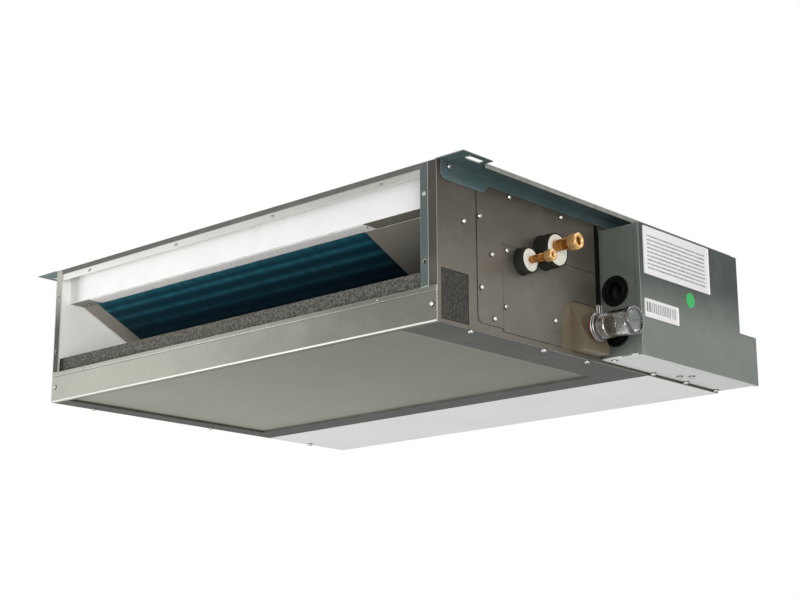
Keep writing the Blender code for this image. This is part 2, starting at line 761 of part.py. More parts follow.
def build_discharge_flanges(cabinet):
    """Left, right and top strips of the duct flange round the discharge opening.

    The side strips have round screw holes and the top strip has slots.
    """
    base = FRONT_PANEL_HEIGHT + GAP
    left_inner = -HALF + SIDE_FLANGE_WIDTH
    right_outer = HALF - POST_WIDTH - GAP
    right_inner = HALF - POST_WIDTH - SIDE_FLANGE_WIDTH
    left = prism(
        "discharge_flange_left",
        folded([(-BETWEEN, FLANGE_RETURN), (-BETWEEN, 0), (left_inner, 0)], SHEET),
        "Z", base, CEILING, "galvanised", cabinet,
    )
    right = prism(
        "discharge_flange_right",
        folded([(right_inner, 0), (right_outer, 0), (right_outer, FLANGE_RETURN)], SHEET),
        "Z", base, CEILING, "galvanised", cabinet,
    )
    for strip, middle in ((left, -HALF + SIDE_FLANGE_WIDTH / 2),
                          (right, (right_inner + right_outer) / 2)):
        holes = [
            rod_shape("Y", (middle, z), FLANGE_HOLE_RADIUS, -SHEET, 2 * SHEET, SMALL_STEPS)
            for z in FLANGE_HOLE_HEIGHTS
        ]
        cut(strip, *holes)
    front = SHEET + GAP
    top = prism(
        "discharge_flange_top",
        folded([(front + FLANGE_RETURN, CEILING), (front, CEILING),
                (front, HEIGHT - TOP_FLANGE_DROP)], SHEET),
        "X", left_inner + GAP, right_inner - GAP, "galvanised", cabinet,
    )
    level = HEIGHT - (TOP_FLANGE_DROP + TOP_LIP_HEIGHT) / 2
    middle = (left_inner + right_inner) / 2
    pitch = (right_inner - left_inner - 2 * FLANGE_HOLE_MARGIN) / (FLANGE_HOLES - 1)
    slots = [
        outline_shape(
            lying_slot(middle + x, level, FLANGE_SLOT_LENGTH, FLANGE_SLOT_WIDTH),
            "Y", 0, front + 2 * SHEET,
        )
        for x in hole_places(FLANGE_HOLES, pitch)
    ]
    cut(top, *slots)
    return left, right, top


def build_upper_baffle(cabinet):
    """Upright plate above the coil, with a shelf that meets the coil's top edge."""
    shelf_end = COIL_TOP_Y - GAP
    outline = folded(
        [(BAFFLE_SETBACK + FLANGE_RETURN, CEILING), (BAFFLE_SETBACK, CEILING),
         (BAFFLE_SETBACK, BAFFLE_SHELF_Z), (shelf_end, BAFFLE_SHELF_Z)],
        SHEET,
    )
    return prism("upper_baffle", outline, "X", LEFT_WALL, BETWEEN, "white_sheet", cabinet)


def build_left_wall_liner(cabinet):
    """White insulation on the inside of the left wall."""
    low = (-BETWEEN, FLANGE_RETURN + GAP, RECESS_DEPTH + SHEET + GAP)
    high = (-BETWEEN + LINER_THICKNESS, COIL_SECTION_DEPTH - GAP, CEILING)
    return block("left_wall_liner", low, high, "white_foam", cabinet)


def build_drain_pan(cabinet):
    """Condensate tray under the coil, with a tall front wall and low side walls."""
    pan = block(
        "drain_pan", (LEFT_WALL, PAN_FRONT_SETBACK, PAN_BASE),
        (PAN_RIGHT, PAN_REAR, PAN_FRONT_HEIGHT), "pan_plastic", cabinet,
    )
    inside = PAN_FRONT_SETBACK + PAN_WALL
    cut(
        pan,
        block_shape(
            (LEFT_WALL - PAN_WALL, inside, PAN_SIDE_TOP),
            (PAN_RIGHT + PAN_WALL, PAN_REAR + PAN_WALL, PAN_FRONT_HEIGHT + PAN_WALL),
        ),
    )
    cut(
        pan,
        block_shape(
            (LEFT_WALL + PAN_WALL, inside, PAN_BASE + PAN_FLOOR),
            (PAN_RIGHT - PAN_WALL, PAN_REAR - PAN_WALL, PAN_FRONT_HEIGHT + PAN_WALL),
        ),
    )
    notch = NOZZLE_BORE_RADIUS
    cut(
        pan,
        block_shape(
            (PAN_RIGHT - 2 * PAN_WALL, DRAIN_Y - notch, DRAIN_Z - notch),
            (PAN_RIGHT + PAN_WALL, DRAIN_Y + notch, PAN_FRONT_HEIGHT + PAN_WALL),
        ),
    )
    return pan


def build_pan_foam(cabinet):
    """Foam strip on the pan's front wall and the foam pad at its right end."""
    top = PAN_FRONT_HEIGHT + GAP
    front = PAN_FRONT_SETBACK - GAP
    inside = PAN_FRONT_SETBACK + PAN_WALL
    outline = [
        (front - FOAM_THICKNESS, FRONT_PANEL_HEIGHT - FOAM_THICKNESS),
        (front, FRONT_PANEL_HEIGHT - FOAM_THICKNESS),
        (front, top),
        (inside, top),
        (inside, top + FOAM_CAP),
        (front - FOAM_THICKNESS, top + FOAM_CAP),
    ]
    prism("drain_pan_foam", outline, "X", LEFT_WALL, PAN_RIGHT, "grey_foam", cabinet)
    low, high = end_foam_corners(GAP)
    block(
        "drain_pan_end_foam", (PAN_RIGHT + GAP, *low), (HALF - GAP, *high),
        "grey_foam", cabinet,
    )


def bend_rows():
    """Places (down the slope, through the coil) of each return bend's first tube."""
    pairs = int(COIL_LENGTH / (2 * TUBE_PITCH))
    start = (COIL_LENGTH - (2 * pairs - 1) * TUBE_PITCH) / 2
    return [
        (start + 2 * pair * TUBE_PITCH, COIL_THICKNESS * (row + 0.5) / TUBE_ROWS)
        for row in range(TUBE_ROWS)
        for pair in range(pairs)
    ]


def return_bend_in(shape, down, through):
    """Add one U-shaped bend that leaves the coil's left end and comes back."""
    radius = TUBE_PITCH / 2
    stem_end = COIL_LEFT - SHEET - BEND_STANDOFF
    stem_start = COIL_LEFT + GAP
    middle = down + radius
    path = [(stem_start, down)]
    path += [
        (stem_end - radius * math.sin(a), middle - radius * math.cos(a))
        for a in [math.pi * i / BEND_ARC_STEPS for i in range(BEND_ARC_STEPS + 1)]
    ]
    path.append((stem_start, down + TUBE_PITCH))
    rings = []
    for i, (x, y) in enumerate(path):
        before = Vector(path[max(i - 1, 0)])
        after = Vector(path[min(i + 1, len(path) - 1)])
        run = (after - before).normalized()
        side = Vector((-run.y, run.x, 0))
        ring = []
        for j in range(BEND_STEPS):
            turn = 2 * math.pi * j / BEND_STEPS
            offset = side * math.cos(turn) + Vector((0, 0, 1)) * math.sin(turn)
            ring.append(shape.verts.new(Vector((x, y, through)) + offset * TUBE_RADIUS))
        rings.append(ring)
    for lower, upper in zip(rings, rings[1:]):
        for j in range(BEND_STEPS):
            shape.faces.new((lower[j - 1], lower[j], upper[j], upper[j - 1]))
    shape.faces.new(rings[0])
    shape.faces.new(rings[-1])


def draw_return_bends(shape):
    """All return bends of the coil's left end."""
    for down, through in bend_rows():
        return_bend_in(shape, down, through)


def draw_bend_holes(shape):
    """Holes in the left end plate that the tubes pass through."""
    radius = TUBE_RADIUS + BEND_CLEARANCE
    for down, through in bend_rows():
        for tube in (down, down + TUBE_PITCH):
            rod_in(
                shape, "X", (tube, through), radius,
                COIL_LEFT - 3 * SHEET, COIL_LEFT + SHEET, BEND_STEPS,
            )


def build_coil(coil_frame):
    """Finned coil with its return bends, between two end plates."""
    coil = block(
        "coil_block", (COIL_LEFT, 0, 0), (COIL_RIGHT, COIL_LENGTH, COIL_THICKNESS),
        "coil_fins", coil_frame,
    )
    join(coil, draw_return_bends)
    plate_x = COIL_LEFT - GAP
    left = prism(
        "coil_end_plate_left",
        folded([(plate_x - END_FLANGE_WIDTH, 0), (plate_x, 0), (plate_x, COIL_THICKNESS)], SHEET),
        "Y", 0, COIL_LENGTH, "galvanised", coil_frame,
    )
    cut(left, draw_bend_holes)
    right_x = COIL_RIGHT + GAP
    right = block(
        "coil_end_plate_right", (right_x, 0, 0), (right_x + SHEET, COIL_LENGTH, COIL_THICKNESS),
        "galvanised", coil_frame,
    )
    blank = block(
        "blank_off_plate", (right_x, 0, -SHEET - GAP),
        (PAN_RIGHT - GAP, COIL_LENGTH, -GAP), "galvanised_dark", coil_frame,
    )
    return coil, left, right, blank


def build_header(name, down, up, radius, stub_drop, finish, coil_frame):
    """A header tube along the slope, with stubs that reach the coil's right end plate."""
    reach = min(down, COIL_LENGTH - down) - radius
    header = prism(
        name, circle(HEADER_X, up, radius), "Y", down - reach, down + reach,
        finish, coil_frame, smooth=True,
    )
    start = COIL_RIGHT + SHEET + 2 * GAP
    pitch = 2 * (reach - 2 * radius) / (HEADER_STUBS - 1)
    stubs = [
        rod_shape(
            "X", (down + place, up - stub_drop), STUB_RADIUS, start, HEADER_X, SMALL_STEPS,
        )
        for place in hole_places(HEADER_STUBS, pitch)
    ]
    join(header, *stubs)
    return header


def build_headers(coil_frame):
    """Gas header and liquid manifold in the pipe chamber."""
    gas_drop = max(0.0, GAS_PIPE_UP + STUB_RADIUS + GAP - COIL_THICKNESS)
    build_header(
        "gas_header", GAS_PIPE_DOWN, GAS_PIPE_UP, GAS_HEADER_RADIUS, gas_drop,
        "copper", coil_frame,
    )
    build_header(
        "liquid_manifold", LIQUID_PIPE_DOWN, LIQUID_PIPE_UP, LIQUID_MANIFOLD_RADIUS, 0.0,
        "copper", coil_frame,
    )


def build_pipe_line(label, sleeve, pipe, radii, reach, union_length, nut, cabinet):
    """One refrigerant line: sleeve, foam core, pipe, union and flare nut, along X.

    sleeve and pipe are (y, z) centres, radii is (pipe, sleeve, header) and nut is
    (across flats, length).
    """
    pipe_radius, sleeve_radius, header_radius = radii
    flats, nut_length = nut
    face = HALF + reach
    inner_end = INNER - SLEEVE_INNER_REACH
    sleeve_piece = prism(
        label + "_sleeve", circle(*sleeve, sleeve_radius), "X", inner_end, face,
        "rubber", cabinet, (face, *sleeve), smooth=True,
    )
    core_radius = sleeve_radius - SLEEVE_WALL
    cut(
        sleeve_piece,
        rod_shape("X", sleeve, core_radius + GAP, inner_end - SHEET, face + SHEET),
    )
    core = prism(
        label + "_foam_core", circle(*sleeve, core_radius), "X", inner_end, face,
        "white_foam", cabinet, (face, *sleeve), smooth=True,
    )
    cut(core, rod_shape("X", pipe, pipe_radius + GAP, inner_end - SHEET, face + SHEET))
    union_start = face + GAP
    prism(
        label + "_pipe", circle(*pipe, pipe_radius), "X", HEADER_X + header_radius + GAP,
        union_start, "copper", cabinet, (face, *pipe), smooth=True,
    )
    union_radius = pipe_radius + UNION_WALL
    thread_radius = union_radius - THREAD_STEP
    union_end = union_start + union_length
    thread_end = union_end + THREAD_LENGTH
    turned(
        label + "_union",
        [(GAP, 0), (GAP, union_radius), (union_length, union_radius),
         (union_length, thread_radius), (union_length + THREAD_LENGTH, thread_radius),
         (union_length + THREAD_LENGTH, 0)],
        "X", (union_start, *pipe), "brass", cabinet,
    )
    nut_start = union_end + TURNING_CLEARANCE
    nut_end = max(nut_start + nut_length, thread_end + NUT_END_WALL)
    corner = flats / 2 / math.cos(math.pi / 6)
    nut_piece = prism(
        label + "_flare_nut", circle(*pipe, corner, 6), "X", nut_start, nut_end,
        "brass", cabinet, (nut_start, *pipe),
    )
    cut(
        nut_piece,
        rod_shape(
            "X", pipe, thread_radius + TURNING_CLEARANCE, nut_start - SHEET,
            thread_end + TURNING_CLEARANCE,
        ),
        rod_shape(
            "X", pipe, pipe_radius - NUT_RECESS_RIM, nut_end - NUT_RECESS, nut_end + SHEET,
            MIDDLE_STEPS,
        ),
    )
    return nut_piece


def build_pipes(cabinet):
    """The gas line and the thinner liquid line."""
    build_pipe_line(
        "gas", (GAS_SLEEVE_Y, GAS_SLEEVE_Z), (GAS_PIPE_Y, GAS_PIPE_Z),
        (GAS_PIPE_RADIUS, GAS_SLEEVE_RADIUS, GAS_HEADER_RADIUS), GAS_SLEEVE_REACH,
        GAS_UNION_LENGTH, (GAS_NUT_FLATS, GAS_NUT_LENGTH), cabinet,
    )
    build_pipe_line(
        "liquid", (LIQUID_SLEEVE_Y, LIQUID_SLEEVE_Z), (LIQUID_SLEEVE_Y, LIQUID_SLEEVE_Z),
        (LIQUID_PIPE_RADIUS, LIQUID_SLEEVE_RADIUS, LIQUID_MANIFOLD_RADIUS),
        LIQUID_SLEEVE_REACH, LIQUID_UNION_LENGTH, (LIQUID_NUT_FLATS, LIQUID_NUT_LENGTH),
        cabinet,
    )


def build_drain_outlet(cabinet):
    """Drain cup with its nozzle, the clear hose socket on it and the clamp."""
    plate_start = PAN_RIGHT + GAP
    plate_end = min(plate_start + CUP_PLATE, BETWEEN)
    plate = rectangle(
        (ARCH_FRONT_Y - CUP_PLATE_MARGIN, CUP_BASE_Z),
        (ARCH_REAR_Y + CUP_PLATE_MARGIN, ARCH_TOP_Z + CUP_PLATE_MARGIN),
    )
    cup = prism("drain_outlet_cup", plate, "X", plate_start, plate_end, "cup_plastic", cabinet)
    root = plate_end - SHEET
    reach = HALF + CUP_REACH
    wedge = [
        (root, CUP_BASE_Z), (reach, CUP_BASE_Z), (reach, CUP_LIP_Z),
        (root, ARCH_TOP_Z - CUP_TOP_SPACE),
    ]
    hollow_base = CUP_BASE_Z + CUP_WALL
    hollow_top = ARCH_TOP_Z + CUP_WALL
    join(cup, outline_shape(wedge, "Y", CUP_FRONT_Y, CUP_REAR_Y))
    cut(
        cup,
        block_shape(
            (plate_end, CUP_FRONT_Y + CUP_WALL, hollow_base),
            (reach - CUP_WALL, CUP_REAR_Y - CUP_WALL, hollow_top),
        ),
    )
    centre = (DRAIN_Y, DRAIN_Z)
    nozzle_end = HALF + NOZZLE_REACH
    join(cup, rod_shape("X", centre, NOZZLE_RADIUS, root, nozzle_end))
    cut(
        cup,
        rod_shape("X", centre, NOZZLE_BORE_RADIUS, plate_start - SHEET, nozzle_end + SHEET),
    )
    socket_start = HALF + SOCKET_START
    length = SOCKET_REACH - SOCKET_START
    bore = NOZZLE_RADIUS + GAP
    collar = length - SOCKET_COLLAR_LENGTH
    turned(
        "drain_socket",
        [(0, bore), (0, SOCKET_RADIUS), (collar, SOCKET_RADIUS),
         (collar, SOCKET_COLLAR_RADIUS), (length, SOCKET_COLLAR_RADIUS), (length, bore)],
        "X", (socket_start, *centre), "clear_plastic", cabinet,
    )
    inner = SOCKET_RADIUS + GAP
    outer = inner + CLAMP_THICKNESS
    clamp_start = socket_start + GAP
    clamp = turned(
        "drain_clamp",
        [(0, inner), (0, outer), (CLAMP_WIDTH, outer), (CLAMP_WIDTH, inner)],
        "X", (clamp_start, *centre), "steel", cabinet,
    )
    for side in (-1, 1):
        ear_y = DRAIN_Y + side * CLAMP_EAR_OFFSET
        join(
            clamp,
            block_shape(
                (clamp_start + GAP, ear_y - CLAMP_THICKNESS / 2, DRAIN_Z + inner + 2 * GAP),
                (clamp_start + CLAMP_WIDTH - GAP, ear_y + CLAMP_THICKNESS / 2,
                 DRAIN_Z + outer + CLAMP_EAR_HEIGHT),
            ),
        )


def housing_outline(margin, mouth):
    """Scroll outline (y, z) of a fan housing, grown by margin, with its mouth at mouth."""
    cutoff = HOUSING_CUTOFF_RADIUS + margin
    scroll = []
    for i in range(SCROLL_STEPS + 1):
        angle = HOUSING_CUTOFF_ANGLE * i / SCROLL_STEPS
        radius = HOUSING_EXIT_RADIUS + margin - HOUSING_GROWTH * angle
        scroll.append((FAN_Y + radius * math.sin(angle), FAN_Z + radius * math.cos(angle)))
    top = FAN_Z + HOUSING_EXIT_RADIUS + margin
    throat = FAN_Z + cutoff * math.cos(HOUSING_CUTOFF_ANGLE)
    return [(mouth, top), *scroll, (mouth, throat)]


def throat_corners():
    """Low and high z of the air passage in a housing's mouth."""
    throat = FAN_Z + HOUSING_CUTOFF_RADIUS * math.cos(HOUSING_CUTOFF_ANGLE)
    return throat, FAN_Z + HOUSING_EXIT_RADIUS


def build_fan_housing(side, label, cabinet):
    """One scroll housing as an upper and a lower shell."""
    middle = side * FAN_X
    half = HOUSING_WIDTH / 2
    low, high = throat_corners()
    shells = (
        ("upper", FAN_Z + GAP / 2, HEIGHT + SHEET),
        ("lower", -SHEET, FAN_Z - GAP / 2),
    )
    for part, start, end in shells:
        shell = prism(
            f"fan_housing_{label}_{part}", housing_outline(HOUSING_WALL, OUTLET_Y), "X",
            middle - half, middle + half, "housing_plastic", cabinet,
            (middle, FAN_Y, FAN_Z), smooth=True,
        )
        if part == "upper":
            flange = block_shape(
                (middle - half - HOUSING_FLANGE, OUTLET_Y, low - HOUSING_FLANGE),
                (middle + half + HOUSING_FLANGE, OUTLET_Y + HOUSING_WALL,
                 min(high + HOUSING_TOP_FLANGE, CEILING - GAP)),
            )
            join(shell, flange)
        cavity = outline_shape(
            housing_outline(0, OUTLET_Y - HOUSING_WALL), "X",
            middle - half + HOUSING_WALL, middle + half - HOUSING_WALL,
        )
        cut(shell, cavity)
        inlet = rod_shape(
            "X", (FAN_Y, FAN_Z), IMPELLER_INNER_RADIUS, middle - half - SHEET,
            middle + half + SHEET,
        )
        cut(shell, inlet)
        limit = bmesh.new()
        block_in(
            limit,
            (middle - 2 * half, OUTLET_Y - SHEET, start),
            (middle + 2 * half, DEPTH, end),
        )
        shape_with(shell, tool_piece(shell.name + "_limit", limit, cabinet), "INTERSECT")


def blade_outline(angle):
    """Four corners (y, z) of one forward-leaning blade."""
    inner = IMPELLER_INNER_RADIUS + BLADE_THICKNESS
    outer = IMPELLER_RADIUS - BLADE_THICKNESS
    depth = outer - inner
    lean = BLADE_LEAN * depth / outer
    half = BLADE_THICKNESS / 2
    corners = []
    for radius, turn, side in (
        (inner, 0, -half), (outer, lean, -half), (outer, lean, half), (inner, 0, half),
    ):
        direction = angle + turn * outer / IMPELLER_INNER_RADIUS
        corners.append((
            radius * math.cos(direction) - side * math.sin(direction),
            radius * math.sin(direction) + side * math.cos(direction),
        ))
    return corners


def draw_blades(shape, middle):
    """All blades of one impeller, from one end ring to the other."""
    half = IMPELLER_WIDTH / 2 - IMPELLER_RING / 2
    for i in range(IMPELLER_BLADES):
        outline = [
            (FAN_Y + y, FAN_Z + z) for y, z in blade_outline(2 * math.pi * i / IMPELLER_BLADES)
        ]
        extrude_outline(shape, outline, "X", middle - half, middle + half)


def build_impeller(side, label, rotor):
    """Double-inlet wheel: two end rings, a middle disc with its hub, and the blades."""
    middle = side * FAN_X
    half = IMPELLER_WIDTH / 2
    bore = SHAFT_RADIUS + GAP
    wheel = turned(
        "impeller_" + label,
        [(-HUB_LENGTH / 2, bore), (-HUB_LENGTH / 2, HUB_RADIUS), (-IMPELLER_DISC / 2, HUB_RADIUS),
         (-IMPELLER_DISC / 2, IMPELLER_RADIUS), (IMPELLER_DISC / 2, IMPELLER_RADIUS),
         (IMPELLER_DISC / 2, HUB_RADIUS), (HUB_LENGTH / 2, HUB_RADIUS), (HUB_LENGTH / 2, bore)],
        "X", (middle, 0, 0), "impeller_plastic", rotor, IMPELLER_BLADES,
    )
    ring_profile = [
        (0, IMPELLER_INNER_RADIUS), (0, IMPELLER_RADIUS),
        (IMPELLER_RING, IMPELLER_RADIUS), (IMPELLER_RING, IMPELLER_INNER_RADIUS),
    ]
    blades = bmesh.new()
    draw_blades(blades, middle)
    bmesh.ops.translate(blades, verts=blades.verts, vec=(0, -FAN_Y, -FAN_Z))
    shape_with(wheel, tool_piece(wheel.name + "_blades", blades, rotor), "UNION")
    for start in (middle - half, middle + half - IMPELLER_RING):
        ring = turned(
            f"{wheel.name}_ring", ring_profile, "X", (start, 0, 0), "impeller_plastic", rotor,
            IMPELLER_BLADES,
        )
        ring.hide_render = True
        ring.display_type = "WIRE"
        shape_with(wheel, ring, "UNION")
    return wheel


def build_rotor(cabinet):
    """Shaft and both impellers on the fan axis."""
    rotor = add_empty("fan_axis", cabinet, (0, FAN_Y, FAN_Z))
    reach = FAN_X + HUB_LENGTH / 2 + SHAFT_OVERHANG
    prism(
        "fan_shaft", circle(0, 0, SHAFT_RADIUS, MIDDLE_STEPS), "X", -reach, reach, "steel", rotor,
        smooth=True,
    )
    build_impeller(-1, "left", rotor)
    build_impeller(1, "right", rotor)


def build_motor(cabinet):
    """Double-shaft motor on its cradle, held by a strap."""
    half = MOTOR_LENGTH / 2
    end = half + MOTOR_BOSS_LENGTH
    bore = SHAFT_RADIUS + TURNING_CLEARANCE
    turned(
        "fan_motor",
        [(-end, bore), (-end, MOTOR_BOSS_RADIUS), (-half, MOTOR_BOSS_RADIUS),
         (-half, MOTOR_RADIUS), (half, MOTOR_RADIUS), (half, MOTOR_BOSS_RADIUS),
         (end, MOTOR_BOSS_RADIUS), (end, bore)],
        "X", (0, FAN_Y, FAN_Z), "motor_paint", cabinet,
    )
    shelf = FAN_Z - MOTOR_RADIUS - GAP - CRADLE_SHEET
    front = OUTLET_Y + CRADLE_SHEET
    back = FAN_Y + MOTOR_RADIUS + STRAP_EAR + CRADLE_MARGIN
    outline = folded([(OUTLET_Y, shelf + CRADLE_LEG), (OUTLET_Y, shelf), (back, shelf)],
                     CRADLE_SHEET)
    cradle = prism(
        "motor_cradle", outline, "X", -CRADLE_WIDTH / 2, CRADLE_WIDTH / 2, "galvanised", cabinet,
    )
    strut = [(front - GAP, shelf + CRADLE_SHEET - GAP), (front - GAP, shelf + CRADLE_LEG),
             (front, shelf + CRADLE_LEG), (front + CRADLE_GUSSET, shelf + CRADLE_SHEET - GAP)]
    for side in (-1, 1):
        edge = side * CRADLE_WIDTH / 2
        inner = edge - side * CRADLE_SHEET
        join(cradle, outline_shape(strut, "X", min(edge, inner), max(edge, inner)))
    inner = MOTOR_RADIUS + GAP
    outer = inner + CRADLE_SHEET
    foot = shelf + CRADLE_SHEET + GAP
    strap = [
        (FAN_Y + outer + STRAP_EAR, foot), (FAN_Y + outer + STRAP_EAR, foot + CRADLE_SHEET),
        (FAN_Y + outer, foot + CRADLE_SHEET), *arc(FAN_Y, FAN_Z, outer, 0, math.pi, ROUND_STEPS // 2),
        (FAN_Y - outer, foot + CRADLE_SHEET), (FAN_Y - outer - STRAP_EAR, foot + CRADLE_SHEET),
        (FAN_Y - outer - STRAP_EAR, foot), (FAN_Y - inner, foot),
        *arc(FAN_Y, FAN_Z, inner, math.pi, 0, ROUND_STEPS // 2), (FAN_Y + inner, foot),
    ]
    prism(
        "motor_strap", strap, "X", -STRAP_WIDTH / 2, STRAP_WIDTH / 2, "steel", cabinet,
        smooth=True,
    )


def build_partition_plate(cabinet):
    """Upright deck between the coil and fan sections, open at the two fan mouths."""
    plate = block(
        "partition_plate", (-BETWEEN, PARTITION_Y, FLOOR), (BETWEEN, PARTITION_Y + SHEET, CEILING),
        "galvanised", cabinet,
    )
    low, high = throat_corners()
    half = HOUSING_WIDTH / 2 - HOUSING_WALL
    windows = [
        block_shape(
            (side * FAN_X - half, PARTITION_Y - SHEET, low),
            (side * FAN_X + half, PARTITION_Y + 2 * SHEET, high),
        )
        for side in (-1, 1)
    ]
    cut(plate, *windows)
    return plate


def build_return_flanges(cabinet):
    """Top and bottom duct flanges, each with the rail that guides the filter."""
    front = FILTER_FRONT_Y - FILTER_CLEARANCE
    back = FILTER_BACK_Y + FILTER_CLEARANCE
    flange = DEPTH - SHEET
    for label, seat, base, way in (
        ("top", FILTER_TOP + FILTER_CLEARANCE, CEILING, -1),
        ("bottom", FILTER_BOTTOM - FILTER_CLEARANCE, FLOOR, 1),
    ):
        rail_end = seat + way * RAIL_HEIGHT
        flange_end = base + way * RETURN_FLANGE
        outline = [
            (front - SHEET, base), (DEPTH, base), (DEPTH, flange_end), (flange, flange_end),
            (flange, base + way * SHEET), (back + SHEET, base + way * SHEET),
            (back + SHEET, rail_end), (back, rail_end), (back, seat), (front, seat),
            (front, rail_end), (front - SHEET, rail_end),
        ]
        reach = HALF - RETURN_FLANGE - GAP
        prism(
            "return_flange_" + label, outline, "X", -reach, reach, "galvanised", cabinet,
        )


def build_filter(cabinet):
    """Air filter: a frame with a pull tab, and the net in its groove."""
    slide = add_empty("filter_slide_axis", cabinet, (0, FILTER_FRONT_Y, FILTER_BOTTOM))
    reach = BETWEEN - FILTER_END_SPACE
    height = FILTER_TOP - FILTER_BOTTOM
    frame = block(
        "air_filter_frame", (-reach, 0, 0), (reach, FILTER_THICKNESS, height),
        "filter_plastic", slide,
    )
    middle = FILTER_THICKNESS / 2
    half_tab = FILTER_TAB_THICKNESS / 2
    join(
        frame,
        block_shape(
            (-HALF - FILTER_TAB_REACH, middle - half_tab, (height - FILTER_TAB_WIDTH) / 2),
            (-reach + FILTER_BORDER / 2, middle + half_tab, (height + FILTER_TAB_WIDTH) / 2),
        ),
    )
    cut(
        frame,
        block_shape(
            (-reach + FILTER_BORDER, -SHEET, FILTER_BORDER),
            (reach - FILTER_BORDER, FILTER_THICKNESS + SHEET, height - FILTER_BORDER),
        ),
    )
    edge = FILTER_BORDER + GAP
    block(
        "air_filter_net", (-reach + edge, middle - FILTER_NET / 2, edge),
        (reach - edge, middle + FILTER_NET / 2, height - edge), "filter_net", slide,
    )


def build_hanger_rail(side, label, cabinet):
    """Folded rail along the top of one side, with a wide nose and two hanging slots."""
    web = side * SIDE_FACE
    edge = side * (HALF + HANGER_WIDTH)
    nose = side * (HALF + HANGER_NOSE_WIDTH)
    path = [(web, HEIGHT - HANGER_WEB), (web, HEIGHT), (edge, HEIGHT), (edge, HEIGHT - HANGER_LIP)]
    if side > 0:
        path.reverse()
    outline = folded(path, HANGER_SHEET)
    rail = prism(
        "hanger_rail_" + label, outline, "Y", HANGER_NOSE_LENGTH, DEPTH, "galvanised_blue", cabinet,
    )
    bottom = HEIGHT - HANGER_SHEET
    plate_low = (min(web, nose), -HANGER_OVERHANG, bottom)
    plate_high = (max(web, nose), HANGER_NOSE_LENGTH + HANGER_SHEET, HEIGHT)
    inner_web = web + side * HANGER_SHEET
    tab = [
        (HANGER_TAB_FRONT, HEIGHT - HANGER_SHEET / 2),
        *arc(
            HANGER_TAB_FRONT + HANGER_TAB_CORNER,
            HEIGHT - HANGER_TAB_DROP + HANGER_TAB_CORNER,
            HANGER_TAB_CORNER, math.pi, 1.5 * math.pi, CORNER_STEPS,
        ),
        (HANGER_TAB_REAR, HEIGHT - HANGER_TAB_DROP),
        (HANGER_TAB_REAR + HANGER_TAB_SLOPE - GAP, HEIGHT - HANGER_WEB),
        (HANGER_TAB_REAR + HANGER_TAB_SLOPE - GAP, HEIGHT - HANGER_SHEET / 2),
    ]
    join(
        rail,
        block_shape(plate_low, plate_high),
        outline_shape(tab, "X", min(web, inner_web), max(web, inner_web)),
    )
    slots = (
        (side * (HALF + FRONT_SLOT_REACH), FRONT_SLOT_Y),
        (side * (HALF + REAR_SLOT_REACH), DEPTH - REAR_SLOT_INSET),
    )
    cutters = [
        outline_shape(
            slot_outline(x, y, SLOT_LENGTH, SLOT_WIDTH), "Z", bottom - SHEET, HEIGHT + SHEET,
        )
        for x, y in slots
    ]
    cut(rail, *cutters)
    return rail


def box_outline(margin):
    """Stepped outline (y, z) of the electrical box, shrunk by a margin."""
    return [
        (BOX_FRONT_Y + margin, BOX_BASE_Z + margin), (DEPTH - margin, BOX_BASE_Z + margin),
        (DEPTH - margin, BOX_STEP_Z - margin), (BOX_STEP_Y - margin, BOX_STEP_Z - margin),
        (BOX_STEP_Y - margin, BOX_TOP_Z - margin), (BOX_FRONT_Y + margin, BOX_TOP_Z - margin),
    ]


def build_box_shells(cabinet):
    """Tray of the electrical box and the cover that wraps its edges."""
    back = HALF + BOX_STANDOFF
    cover_inner = BOX_FACE - SHEET
    body_outline = box_outline(SHEET + GAP)
    body = prism(
        "ebox_body", body_outline, "X", back, cover_inner - GAP, "galvanised_dark", cabinet,
    )
    feet_y = (BOX_FRONT_Y + BOX_FOOT_INSET, BOX_STEP_Y - BOX_FOOT_INSET)
    feet_z = (BOX_BASE_Z + BOX_FOOT_INSET, BOX_TOP_Z - BOX_FOOT_INSET)
    feet = [
        rod_shape("X", (y, z), BOX_FOOT_RADIUS, SIDE_FACE, back + SHEET / 2, MIDDLE_STEPS)
        for y in feet_y for z in feet_z
    ]
    join(body, *feet)
    cut(body, outline_shape(box_outline(2 * SHEET + GAP), "X", back + SHEET, BOX_FACE + SHEET))
    wall_front = BOX_FRONT_Y + SHEET + GAP
    holes = [
        rod_shape("Y", (CABLE_HOLE_X, z), CABLE_HOLE_RADIUS, wall_front - SHEET, wall_front + 2 * SHEET)
        for z in CABLE_HOLE_HEIGHTS
    ]
    cut(body, *holes)
    cover = prism(
        "ebox_cover", box_outline(0), "X", BOX_FACE - BOX_COVER_FLANGE, BOX_FACE,
        "galvanised_dark", cabinet,
    )
    cut(
        cover,
        outline_shape(box_outline(SHEET), "X", BOX_FACE - 2 * BOX_COVER_FLANGE, cover_inner),
    )


def build_grommets(cabinet):
    """Rubber grommets in the box's two cable holes."""
    neck = CABLE_HOLE_RADIUS - GAP
    wall_front = BOX_FRONT_Y + SHEET + GAP
    for label, height in zip(("upper", "lower"), CABLE_HOLE_HEIGHTS):
        turned(
            "cable_grommet_" + label,
            [(-GAP - GROMMET_FLANGE, GROMMET_BORE_RADIUS),
             (-GAP - GROMMET_FLANGE, GROMMET_FLANGE_RADIUS), (-GAP, GROMMET_FLANGE_RADIUS),
             (-GAP, neck), (GROMMET_LENGTH, neck), (GROMMET_LENGTH, GROMMET_BORE_RADIUS)],
            "Y", (CABLE_HOLE_X, wall_front, height), "rubber", cabinet,
        )


